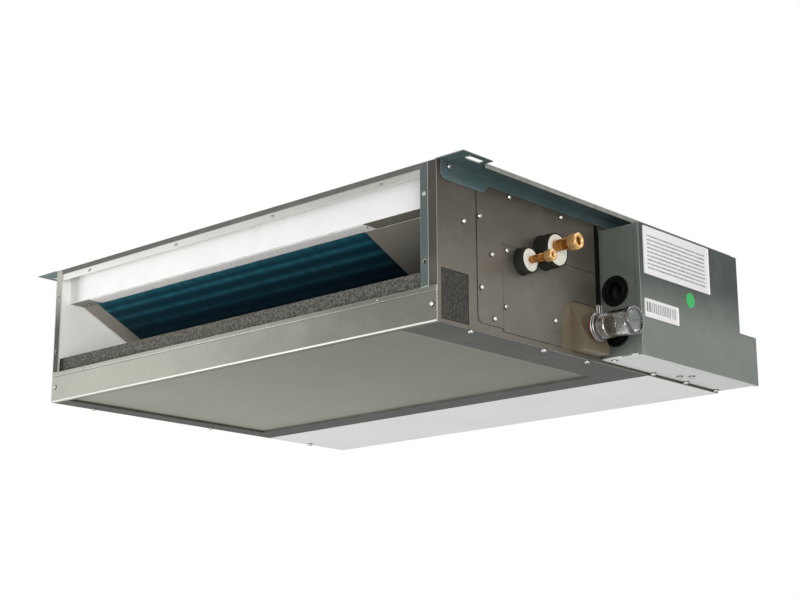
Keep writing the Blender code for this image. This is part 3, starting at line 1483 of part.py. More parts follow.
def build_electrics(cabinet):
    """Control board, terminal block and run capacitor inside the electrical box."""
    floor = HALF + BOX_STANDOFF + SHEET + GAP
    board_low = (floor + BOARD_STANDOFF, BOARD_Y, BOARD_Z)
    board_high = (
        board_low[0] + BOARD_THICKNESS, BOARD_Y + BOARD_LENGTH, BOARD_Z + BOARD_HEIGHT,
    )
    board = block("control_board", board_low, board_high, "board_green", cabinet)
    core = board_low[0] + BOARD_THICKNESS / 2
    posts = [
        rod_shape("X", (y, z), BOARD_POST_RADIUS, floor, core, SMALL_STEPS)
        for y in (BOARD_Y + BOARD_POST_INSET, board_high[1] - BOARD_POST_INSET)
        for z in (BOARD_Z + BOARD_POST_INSET, board_high[2] - BOARD_POST_INSET)
    ]
    relay_z = BOARD_Z + BOARD_POST_INSET
    middle_y = BOARD_Y + BOARD_LENGTH / 2
    relays = [
        block_shape(
            (core, middle_y + place - RELAY_SIZE / 2, relay_z),
            (board_high[0] + RELAY_HEIGHT, middle_y + place + RELAY_SIZE / 2,
             relay_z + RELAY_SIZE),
        )
        for place in hole_places(RELAYS, RELAY_PITCH)
    ]
    join(board, *posts, *relays)
    terminal = block(
        "terminal_block", (floor, TERMINAL_Y, TERMINAL_Z),
        (floor + TERMINAL_DEPTH, TERMINAL_Y + TERMINAL_LENGTH, TERMINAL_Z + TERMINAL_HEIGHT),
        "terminal_white", cabinet,
    )
    pitch = TERMINAL_LENGTH / TERMINAL_POLES
    half_well = (pitch - TERMINAL_RIB) / 2
    middle_y = TERMINAL_Y + TERMINAL_LENGTH / 2
    top = floor + TERMINAL_DEPTH
    wells = [
        block_shape(
            (top - TERMINAL_WELL_DEPTH, middle_y + place - half_well,
             TERMINAL_Z + TERMINAL_WELL_MARGIN),
            (top + SHEET, middle_y + place + half_well,
             TERMINAL_Z + TERMINAL_HEIGHT - TERMINAL_WELL_MARGIN),
        )
        for place in hole_places(TERMINAL_POLES, pitch)
    ]
    cut(terminal, *wells)
    prism(
        "run_capacitor", circle(floor + CAPACITOR_RADIUS, CAPACITOR_Z, CAPACITOR_RADIUS), "Y",
        CAPACITOR_Y, CAPACITOR_Y + CAPACITOR_LENGTH, "terminal_white", cabinet, smooth=True,
    )


def build_air_conditioner():
    """Build the whole unit under one empty."""
    clear_scene()
    cabinet = add_empty("cabinet", None, (-X_MIDDLE, -Y_MIDDLE, 0))
    coil_frame = add_empty(
        "coil_frame", cabinet, (0, COIL_TOP_Y, COIL_TOP_Z), (-COIL_SLOPE, 0, 0),
    )
    build_top_panel(cabinet)
    build_left_side_panel(cabinet)
    build_right_side_panel(cabinet)
    build_access_plate(cabinet)
    build_pipe_plate(cabinet)
    build_lower_front_panel(cabinet)
    build_coil_bottom_panel(cabinet)
    build_fan_bottom_panel(cabinet)
    build_discharge_flanges(cabinet)
    build_upper_baffle(cabinet)
    build_left_wall_liner(cabinet)
    build_drain_pan(cabinet)
    build_pan_foam(cabinet)
    build_coil(coil_frame)
    build_headers(coil_frame)
    build_pipes(cabinet)
    build_drain_outlet(cabinet)
    build_partition_plate(cabinet)
    build_fan_housing(-1, "left", cabinet)
    build_fan_housing(1, "right", cabinet)
    build_rotor(cabinet)
    build_motor(cabinet)
    build_return_flanges(cabinet)
    build_filter(cabinet)
    build_hanger_rail(-1, "left", cabinet)
    build_hanger_rail(1, "right", cabinet)
    build_box_shells(cabinet)
    build_grommets(cabinet)
    build_electrics(cabinet)


build_air_conditioner()
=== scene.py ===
"""Looks of a ducted air conditioner: finishes, sheet metal, coil, pipes, fans, light and camera.

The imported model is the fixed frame. Sheet metal pieces are formed copies of its nodes with rolled
edges, and the coil, pipes, drain, fans, filter and stickers are modelled anew in their places.
Lengths are in metres.
"""

import logging
import math
import random
from dataclasses import dataclass, field
from enum import Enum
from functools import reduce
from typing import Callable, Sequence

import bmesh
import bpy
from mathutils import Matrix, Vector, noise


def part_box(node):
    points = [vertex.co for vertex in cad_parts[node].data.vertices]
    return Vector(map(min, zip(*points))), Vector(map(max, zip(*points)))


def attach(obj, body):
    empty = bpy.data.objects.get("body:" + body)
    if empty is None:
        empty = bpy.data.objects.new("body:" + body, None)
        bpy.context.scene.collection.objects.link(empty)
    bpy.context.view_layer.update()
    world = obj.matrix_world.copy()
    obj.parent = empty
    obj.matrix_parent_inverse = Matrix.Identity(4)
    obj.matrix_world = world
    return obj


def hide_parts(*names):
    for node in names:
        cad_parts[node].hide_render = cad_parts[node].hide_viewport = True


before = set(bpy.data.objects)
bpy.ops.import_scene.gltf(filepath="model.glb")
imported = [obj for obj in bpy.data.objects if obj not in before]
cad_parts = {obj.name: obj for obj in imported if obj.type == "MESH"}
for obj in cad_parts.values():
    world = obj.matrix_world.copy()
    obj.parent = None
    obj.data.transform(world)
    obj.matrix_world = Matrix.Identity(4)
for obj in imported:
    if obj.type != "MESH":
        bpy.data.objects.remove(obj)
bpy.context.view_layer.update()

LOG = logging.getLogger("air_conditioner")
MM = 0.001
SHARP = 35.0  # degrees; edges sharper than this are rounded, or stay sharp in the shading
FLAT = 1.0  # degrees; faces this nearly level with each other become one
MERGE = 1e-6
NODE_MERGE = 1e-5
SEAT_REACH = 30 * MM
Colour = tuple[float, float, float, float]
Point = tuple[float, float, float]
Box = tuple[Vector, Vector]
Profile = Sequence[tuple[float, float]]
Face = bpy.types.MeshPolygon
Piece = bpy.types.Object
Node = bpy.types.Node
Socket = bpy.types.NodeSocket
WHITE = (1.0, 1.0, 1.0, 1.0)
GREY = (0.5, 0.5, 0.5, 1.0)


class Body(str, Enum):
    """The moving bodies that pieces ride on."""

    CABINET = "cabinet"
    ROTOR = "fan_rotor"
    FILTER = "air_filter"
    GAS_NUT = "gas_nut"
    LIQUID_NUT = "liquid_nut"


class Axis(Enum):
    """A direction along which a pattern or a piece runs."""

    X = 0
    Y = 1
    Z = 2

    def vector(self) -> Vector:
        """The unit vector of the axis."""
        return Vector(self.spread(1.0, 0.0))

    def spread(self, along: float, across: float) -> Point:
        """Three numbers: one value along the axis and another across it."""
        return tuple(along if i == self.value else across for i in range(3))


def srgb(red: float, green: float, blue: float) -> Colour:
    """Turn a display colour from 0 to 255 into the linear one that shaders use."""
    shares = [value / 255.0 for value in (red, green, blue)]
    return (*(s / 12.92 if s <= 0.04045 else ((s + 0.055) / 1.055) ** 2.4 for s in shares), 1.0)


@dataclass(frozen=True)
class Cabinet:
    """The cabinet's own millimetres: X from its middle, Y from its front, Z from its base."""

    left: float
    right: float
    front: float

    @staticmethod
    def read() -> "Cabinet":
        """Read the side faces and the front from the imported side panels."""
        left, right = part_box("left_side_panel")[0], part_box("right_side_panel")[1]
        return Cabinet(left.x, right.x, left.y)

    def spot(self, x: float, y: float, z: float) -> Vector:
        """A point of the cabinet in the frame's metres."""
        return Vector(((self.left + self.right) / 2 + x * MM, self.front + y * MM, z * MM))


# Shader graphs and the effects that several finishes share


@dataclass
class Graph:
    """A node tree while it is being wired."""

    tree: bpy.types.NodeTree

    def fill(self, node: Node, inputs: dict) -> Node:
        """Set a node's sockets, by name or number, to values or to the sockets that feed them."""
        for key, value in inputs.items():
            if isinstance(value, Socket):
                self.tree.links.new(value, node.inputs[key])
            else:
                node.inputs[key].default_value = value
        return node

    def node(self, kind: str, inputs: dict | None = None, **settings: object) -> Node:
        """Add a node, set its properties, and fill or link its sockets.

        Args:
            kind: The node's type name.
            inputs: Socket name or number to a value or to the socket that feeds it.
            **settings: Properties of the node.

        Returns:
            The new node.
        """
        made = self.tree.nodes.new(kind)
        for key, value in settings.items():
            setattr(made, key, value)
        return self.fill(made, inputs or {})

    def maths(self, operation: str, first: object, second: object = 0.0) -> Socket:
        """Put one or two numbers through a Math node."""
        return self.node("ShaderNodeMath", {0: first, 1: second}, operation=operation).outputs[0]

    def add(self, *terms: object) -> Socket:
        """Add numbers up."""
        return reduce(lambda first, second: self.maths("ADD", first, second), terms)

    def times(self, *factors: object) -> Socket:
        """Multiply numbers."""
        return reduce(lambda first, second: self.maths("MULTIPLY", first, second), factors)

    def less(self, first: object, second: object) -> Socket:
        """Subtract the second number from the first."""
        return self.maths("SUBTRACT", first, second)

    def above(self, value: object, low: float) -> Socket:
        """One where a number is over a limit, else zero."""
        return self.maths("GREATER_THAN", value, low)

    def between(self, value: object, low: float, high: float) -> Socket:
        """One where a number lies between two limits, else zero."""
        return self.times(self.above(value, low), self.maths("LESS_THAN", value, high))

    def mix(self, mask: object, first: object, second: object) -> Socket:
        """Mix two colours by a mask."""
        inputs = {0: mask, 6: first, 7: second}
        return self.node("ShaderNodeMix", inputs, data_type="RGBA").outputs[2]

    def vectors(self, operation: str, inputs: dict, output: int = 0) -> Socket:
        """Put vectors through a Vector Math node."""
        return self.node("ShaderNodeVectorMath", inputs, operation=operation).outputs[output]

    def span(
        self, value: object, low: float, high: float, start: float, end: float, kind: str = "SMOOTHSTEP"
    ) -> Socket:
        """Map a value from one range to another, held at both ends."""
        inputs = {0: value, 1: low, 2: high, 3: start, 4: end}
        return self.node("ShaderNodeMapRange", inputs, interpolation_type=kind).outputs[0]

    def place(self, stretch: object = (1.0, 1.0, 1.0)) -> Socket:
        """Object coordinates in metres, stretched along each axis."""
        where = self.node("ShaderNodeTexCoord").outputs["Object"]
        return self.vectors("MULTIPLY", {0: where, 1: stretch})

    def parts(self) -> Sequence[Socket]:
        """The three numbers of the object coordinates."""
        return self.node("ShaderNodeSeparateXYZ", {0: self.place()}).outputs

    def noise(self, where: object, scale: object, detail: float = 2.0, rough: float = 0.5) -> Socket:
        """Noise from 0 to 1 at a number of waves for each metre."""
        inputs = {"Vector": where, "Scale": scale, "Detail": detail, "Roughness": rough}
        return self.node("ShaderNodeTexNoise", inputs).outputs[0]

    def cells(self, scale: object) -> Sequence[Socket]:
        """Voronoi cells at a number of cells for each metre."""
        return self.node("ShaderNodeTexVoronoi", {"Vector": self.place(), "Scale": scale}).outputs

    def effect(self, effect: "Effect", **inputs: object) -> Sequence[Socket]:
        """Place a shared effect in this tree and give its outputs."""
        return self.node("ShaderNodeGroup", inputs, node_tree=effect.tree()).outputs


class Effect(Enum):
    """Surface effects, each built once as a node group with named sockets."""

    ZINC = "zinc_skin"
    FOAM = "foam_cells"
    GRAIN = "moulded_grain"
    HANDLING = "handling_marks"

    def tree(self) -> bpy.types.NodeTree:
        """The effect's node group, built on its first use."""
        return bpy.data.node_groups.get(self.value) or self.build()

    def build(self) -> bpy.types.NodeTree:
        """Make the group's sockets and wire what is inside.

        Returns:
            The finished group.
        """
        sizes = {"Crystals": 0.05, "Streaks": 0.04, "Clouds": 0.08, "Roughness": 0.4}
        wire, sockets = {
            Effect.ZINC: (wire_zinc, {"Colour": WHITE, **sizes, "Rolling": (1.0, 1.0, 1.0)}),
            Effect.FOAM: (wire_foam, {"Colour": GREY, "Cell": GREY, "Size": 260.0, "Contrast": 0.5}),
            Effect.GRAIN: (wire_grain, {"Colour": GREY, "Grain": 900.0, "Drift": 0.06, "Roughness": 0.5}),
            Effect.HANDLING: (wire_handling, {"Colour": GREY, "Dust": (0.5, 0.48, 0.44, 1.0), "Amount": 0.1}),
        }[self]
        tree = bpy.data.node_groups.new(self.value, "ShaderNodeTree")
        graph = Graph(tree)
        add_sockets(tree, "INPUT", sockets)
        made = wire(graph, graph.node("NodeGroupInput").outputs)
        add_sockets(tree, "OUTPUT", {name: GREY if name == "Colour" else 0.0 for name in made})
        graph.node("NodeGroupOutput", made)
        return tree


def add_sockets(tree: bpy.types.NodeTree, way: str, names: dict[str, object]) -> None:
    """Give a node group its named sockets.

    Args:
        tree: The group.
        way: INPUT or OUTPUT.
        names: Socket name to its starting value; a tuple of four makes a colour, of three a vector.
    """
    kinds = {4: "NodeSocketColor", 3: "NodeSocketVector"}
    for name, value in names.items():
        kind = kinds[len(value)] if isinstance(value, tuple) else "NodeSocketFloat"
        tree.interface.new_socket(name=name, in_out=way, socket_type=kind).default_value = value


def shaded(graph: Graph, given: Sequence[Socket], shade: Socket) -> Socket:
    """The group's colour, lighter or darker by a shade round zero."""
    return graph.vectors("SCALE", {0: given["Colour"], "Scale": graph.add(graph.times(shade, 2.0), 1.0)})


def wire_zinc(graph: Graph, given: Sequence[Socket]) -> dict[str, Socket]:
    """Wire the skin of zinc-coated sheet: crystals, rolling streaks and cloudy patches.

    Args:
        graph: The group's graph.
        given: The group's input sockets.

    Returns:
        What the group puts out, by name.
    """
    facets = graph.less(graph.cells(190.0)["Color"], 0.5)
    streaks = graph.less(graph.noise(graph.place(given["Rolling"]), 1.0, 3.0, 0.6), 0.5)
    clouds = graph.less(graph.noise(graph.place(), 7.0, 4.0, 0.6), 0.5)
    parts = ((facets, "Crystals"), (streaks, "Streaks"), (clouds, "Clouds"))
    shade = graph.add(*(graph.times(part, given[name]) for part, name in parts))
    gloss = graph.less(given["Roughness"], graph.times(shade, 0.8))
    colour = shaded(graph, given, shade)
    return {"Colour": colour, "Roughness": gloss, "Height": graph.add(facets, streaks)}


def wire_foam(graph: Graph, given: Sequence[Socket]) -> dict[str, Socket]:
    """Wire closed foam: dark and pale cells of two sizes, with their hollows as height.

    Args:
        graph: The group's graph.
        given: The group's input sockets.

    Returns:
        What the group puts out, by name.
    """
    cells = graph.cells(given["Size"])
    coarse = graph.noise(graph.place(), 260.0, 4.0, 0.65)
    pale = graph.span(graph.add(graph.times(cells["Distance"], 0.25), coarse), 0.52, 0.76, 0.0, 1.0)
    colour = graph.mix(graph.times(pale, given["Contrast"]), given["Colour"], given["Cell"])
    return {"Colour": colour, "Height": graph.less(coarse, cells["Distance"])}


def wire_grain(graph: Graph, given: Sequence[Socket]) -> dict[str, Socket]:
    """Wire the fine grain and slow colour drift of a moulded or cast surface.

    Args:
        graph: The group's graph.
        given: The group's input sockets.

    Returns:
        What the group puts out, by name.
    """
    fine = graph.noise(graph.place(), given["Grain"])
    shade = graph.times(graph.less(graph.noise(graph.place(), 22.0, 3.0), 0.5), given["Drift"])
    gloss = graph.add(given["Roughness"], graph.times(shade, 1.5))
    return {"Colour": shaded(graph, given, shade), "Roughness": gloss, "Height": fine}


def wire_handling(graph: Graph, given: Sequence[Socket]) -> dict[str, Socket]:
    """Wire the marks of handling and storage: thin scuffs and a film of dust.

    Args:
        graph: The group's graph.
        given: The group's input sockets.

    Returns:
        What the group puts out, by name.
    """
    film = graph.span(graph.noise(graph.place(), 14.0, 6.0, 0.65), 0.45, 0.75, 0.0, 1.0)
    scuffs = graph.span(graph.noise(graph.place((1.0, 1.0, 0.12)), 240.0, 1.0), 0.72, 0.78, 0.0, 0.6)
    mask = graph.times(graph.maths("MAXIMUM", film, scuffs), given["Amount"])
    return {"Colour": graph.mix(mask, given["Colour"], given["Dust"]), "Film": mask}


# Finishes


def new_material(name: str) -> tuple[bpy.types.Material, Graph, Node]:
    """Make a material, and give its graph and its Principled BSDF too.

    Args:
        name: The material's name.

    Returns:
        The material, its graph and its shader.
    """
    made = bpy.data.materials.new(name)
    made.use_nodes = True
    return made, Graph(made.node_tree), made.node_tree.nodes["Principled BSDF"]


@dataclass(frozen=True)
class Finish:
    """A finish that makes one material, named after itself."""

    name: str
    slot: str
    colour: Colour
    roughness: float = 0.5
    metallic: float = 0.0
    bump: float = 0.05
    dust: float = 0.08
    specular: float = 0.5

    def material(self) -> bpy.types.Material:
        """The finish's material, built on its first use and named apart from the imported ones.

        Returns:
            The one material of this finish.
        """
        name = self.name + "_look"
        found = bpy.data.materials.get(name)
        if found:
            return found
        made, graph, shader = new_material(name)
        graph.fill(shader, {"Metallic": self.metallic, "Specular IOR Level": self.specular})
        self.wire(graph, shader)
        return made

    def wire(self, graph: Graph, shader: Node) -> None:
        """Wire the moulded grain of a plain plastic or painted surface.

        Args:
            graph: The material's graph.
            shader: Its Principled BSDF.
        """
        grain = graph.effect(Effect.GRAIN, Colour=self.colour, Roughness=self.roughness)
        marks = graph.effect(Effect.HANDLING, Colour=grain["Colour"], Amount=self.dust)
        self.feed(graph, shader, marks["Colour"], grain["Roughness"], grain["Height"])

    def feed(
        self, graph: Graph, shader: Node, colour: object, gloss: object, height: Socket,
        depth: float = 0.2 * MM,
    ) -> None:
        """Link a colour, a roughness and a bump height to the shader.

        Args:
            graph: The material's graph.
            shader: Its Principled BSDF.
            colour: What feeds Base Color.
            gloss: A socket or a number for Roughness.
            height: What feeds the bump's Height.
            depth: The bump's depth in metres.
        """
        inputs = {"Height": height, "Strength": self.bump, "Distance": depth}
        bump = graph.node("ShaderNodeBump", inputs).outputs[0]
        graph.fill(shader, {"Base Color": colour, "Roughness": gloss, "Normal": bump})


@dataclass(frozen=True)
class SheetMetal(Finish):
    """Zinc-coated sheet, rolled along one axis, with a second colour at the far end of a fade that paints
    light and shade across it.
    """

    rolling: Axis = Axis.X
    crystals: float = 0.03
    streaks: float = 0.06
    clouds: float = 0.1
    dust: float = 0.1
    far: Colour | None = None
    fade: tuple[float, float] = (0.0, 1.0)
    fading: Axis = Axis.X

    def wire(self, graph: Graph, shader: Node) -> None:
        """Wire crystals, rolling streaks, clouds, handling marks and the painted fade of light and shade.

        Args:
            graph: The material's graph.
            shader: Its Principled BSDF.
        """
        colour = self.colour
        # The fade paints light and shade: the colour turns to the far one across the sheet.
        if self.far:
            share = graph.span(graph.parts()[self.fading.value], *self.fade, 0.0, 1.0)
            colour = graph.mix(share, self.colour, self.far)
        skin = graph.effect(
            Effect.ZINC, Colour=colour, Crystals=self.crystals, Streaks=self.streaks, Clouds=self.clouds,
            Roughness=self.roughness, Rolling=self.rolling.spread(5.0, 420.0),
        )
        marks = graph.effect(Effect.HANDLING, Colour=skin["Colour"], Amount=self.dust)
        gloss = graph.add(skin["Roughness"], marks["Film"])
        self.feed(graph, shader, marks["Colour"], gloss, skin["Height"])


@dataclass(frozen=True)
class Foam(Finish):
    """Foam with a second colour in its cells."""

    cell: Colour = (0.2, 0.2, 0.2, 1.0)
    size: float = 300.0
    contrast: float = 0.7

    def wire(self, graph: Graph, shader: Node) -> None:
        """Wire the mottled cells.

        Args:
            graph: The material's graph.
            shader: Its Principled BSDF.
        """
        inputs = {"Cell": self.cell, "Size": self.size, "Contrast": self.contrast}
        cells = graph.effect(Effect.FOAM, Colour=self.colour, **inputs)
        self.feed(graph, shader, cells["Colour"], self.roughness, cells["Height"], 1.5 * MM)


@dataclass(frozen=True)
class TurnedMetal(Finish):
    """Copper, brass or steel with fine tool marks round one axis."""

    tarnish: Colour = (0.2, 0.1, 0.05, 1.0)
    axis: Axis = Axis.X

    def wire(self, graph: Graph, shader: Node) -> None:
        """Wire tarnish patches and tool marks.

        Args:
            graph: The material's graph.
            shader: Its Principled BSDF.
        """
        patches = graph.span(graph.noise(graph.place(), 60.0, 4.0, 0.6), 0.42, 0.75, 0.0, 0.75)
        colour = graph.mix(patches, self.colour, self.tarnish)
        marks = graph.noise(graph.place(self.axis.spread(2200.0, 40.0)), 1.0)
        gloss = graph.add(graph.times(patches, 0.3), self.roughness)
        self.feed(graph, shader, colour, gloss, marks, 0.1 * MM)


@dataclass(frozen=True)
class FinCoat(Finish):
    """Blue water-shedding coat on the fins, with painted sheen in pale bands at each tube row and painted
    shade down the slope.
    """

    # The colours of the painted sheen bands and of the painted shade down the slope.
    sheen_band: Colour = (0.1, 0.3, 0.4, 1.0)
    lower: Colour = (0.0, 0.01, 0.02, 1.0)
    top: Point = (0.0, 0.0, 0.0)
    slope: float = 0.0
    pitch: float = 25.4 * MM

    def wire(self, graph: Graph, shader: Node) -> None:
        """Wire the painted sheen bands along the coil, the painted shade that darkens them down the slope,
        and the uneven coat.

        Args:
            graph: The material's graph.
            shader: Its Principled BSDF.
        """
        where = graph.node("ShaderNodeTexCoord").outputs["Object"]
        offset = graph.vectors("SUBTRACT", {0: where, 1: self.top})
        down = (0.0, math.cos(self.slope), -math.sin(self.slope))
        reach = graph.vectors("DOT_PRODUCT", {0: offset, 1: down}, 1)
        rows = graph.maths("FRACT", graph.maths("DIVIDE", reach, self.pitch))
        near = graph.maths("ABSOLUTE", graph.less(rows, 0.5))
        # Painted sheen: pale bands at each tube row, fainter ones between them, and a pale top row.
        sheen_band = graph.span(near, 0.2, 0.5, 0.0, 1.0)
        minor = graph.span(graph.maths("ABSOLUTE", graph.less(near, 0.25)), 0.0, 0.1, 0.28, 0.0)
        crown = graph.span(reach, 4 * MM, 22 * MM, 0.9, 0.0)
        lines = reduce(lambda first, second: graph.maths("MAXIMUM", first, second), (sheen_band, minor, crown))
        patchy = graph.span(graph.noise(graph.place((60.0, 6.0, 6.0)), 1.0, 4.0, 0.7), 0.3, 0.7, 0.45, 1.0)
        banded = graph.mix(graph.times(lines, patchy), self.colour, self.sheen_band)
        # Painted shade: the coat darkens towards the lower colour down the slope.
        colour = graph.mix(graph.span(reach, 20 * MM, 110 * MM, 0.0, 0.85), banded, self.lower)
        ripple = graph.noise(graph.place((300.0, 40.0, 40.0)), 1.0)
        self.feed(graph, shader, colour, self.roughness, ripple)


@dataclass(frozen=True)
class ClearPlastic(Finish):
    """Clear moulded plastic."""

    def wire(self, graph: Graph, shader: Node) -> None:
        """Wire clear plastic with faint moulding waves.

        Args:
            graph: The material's graph.
            shader: Its Principled BSDF.
        """
        graph.fill(shader, {"Transmission Weight": 1.0, "IOR": 1.5})
        graph.fill(shader, {"Coat Weight": 1.0, "Coat IOR": 1.9, "Coat Roughness": 0.04})
        haze = graph.span(graph.noise(graph.place(), 40.0, 3.0), 0.3, 0.8, 0.0, 0.12)
        colour = graph.mix(haze, self.colour, (0.75, 0.78, 0.76, 1.0))
        waves = graph.noise(graph.place((18.0, 90.0, 90.0)), 1.0)
        self.feed(graph, shader, colour, graph.add(haze, self.roughness), waves)


@dataclass(frozen=True)
class Net(Finish):
    """A woven net with open meshes."""

    pitch: float = 1.6 * MM

    def wire(self, graph: Graph, shader: Node) -> None:
        """Wire threads along X and Z, clear between them.

        Args:
            graph: The material's graph.
            shader: Its Principled BSDF.
        """
        place = graph.parts()
        turn = 2 * math.pi / self.pitch
        waves = [graph.maths("COSINE", graph.times(place[i], turn)) for i in (0, 2)]
        thread = graph.maths("MAXIMUM", *waves)
        graph.fill(shader, {"Alpha": graph.span(thread, 0.35, 0.6, 0.0, 1.0)})
        colour = graph.mix(graph.noise(graph.place(), 120.0), self.colour, srgb(110, 112, 114))
        self.feed(graph, shader, colour, self.roughness, thread, 0.4 * MM)


@dataclass(frozen=True)
class PrintedLabel(Finish):
    """A white paper label with ruled grey lines and no lettering."""

    ink: Colour = srgb(60, 60, 62)
    low: Point = (0.0, 0.0, 0.0)
    high: Point = (1.0, 1.0, 1.0)
    rows: int = 12
    bars: bool = False

    def wire(self, graph: Graph, shader: Node) -> None:
        """Wire either ruled lines of uneven length or upright bars.

        Args:
            graph: The material's graph.
            shader: Its Principled BSDF.
        """
        place = graph.parts()
        across, up = (graph.span(place[i], self.low[i], self.high[i], 0.0, 1.0, "LINEAR") for i in (1, 2))
        if self.bars:
            inked = graph.above(graph.noise(graph.place((0.0, 420.0, 0.0)), 1.0, 0.0), 0.5)
            block = graph.between(up, 0.3, 0.85)
        else:
            line = graph.maths("FRACT", graph.times(up, float(self.rows)))
            words = graph.noise(graph.place((0.0, 260.0, 900.0)), 1.0, 1.0)
            inked = graph.times(graph.above(line, 0.62), graph.above(words, 0.42))
            block = graph.between(up, 0.12, 0.88)
        mask = graph.times(inked, block, graph.between(across, 0.06, 0.94), 0.75)
        colour = graph.mix(mask, self.colour, self.ink)
        self.feed(graph, shader, colour, self.roughness, graph.noise(graph.place(), 300.0), 0.1 * MM)


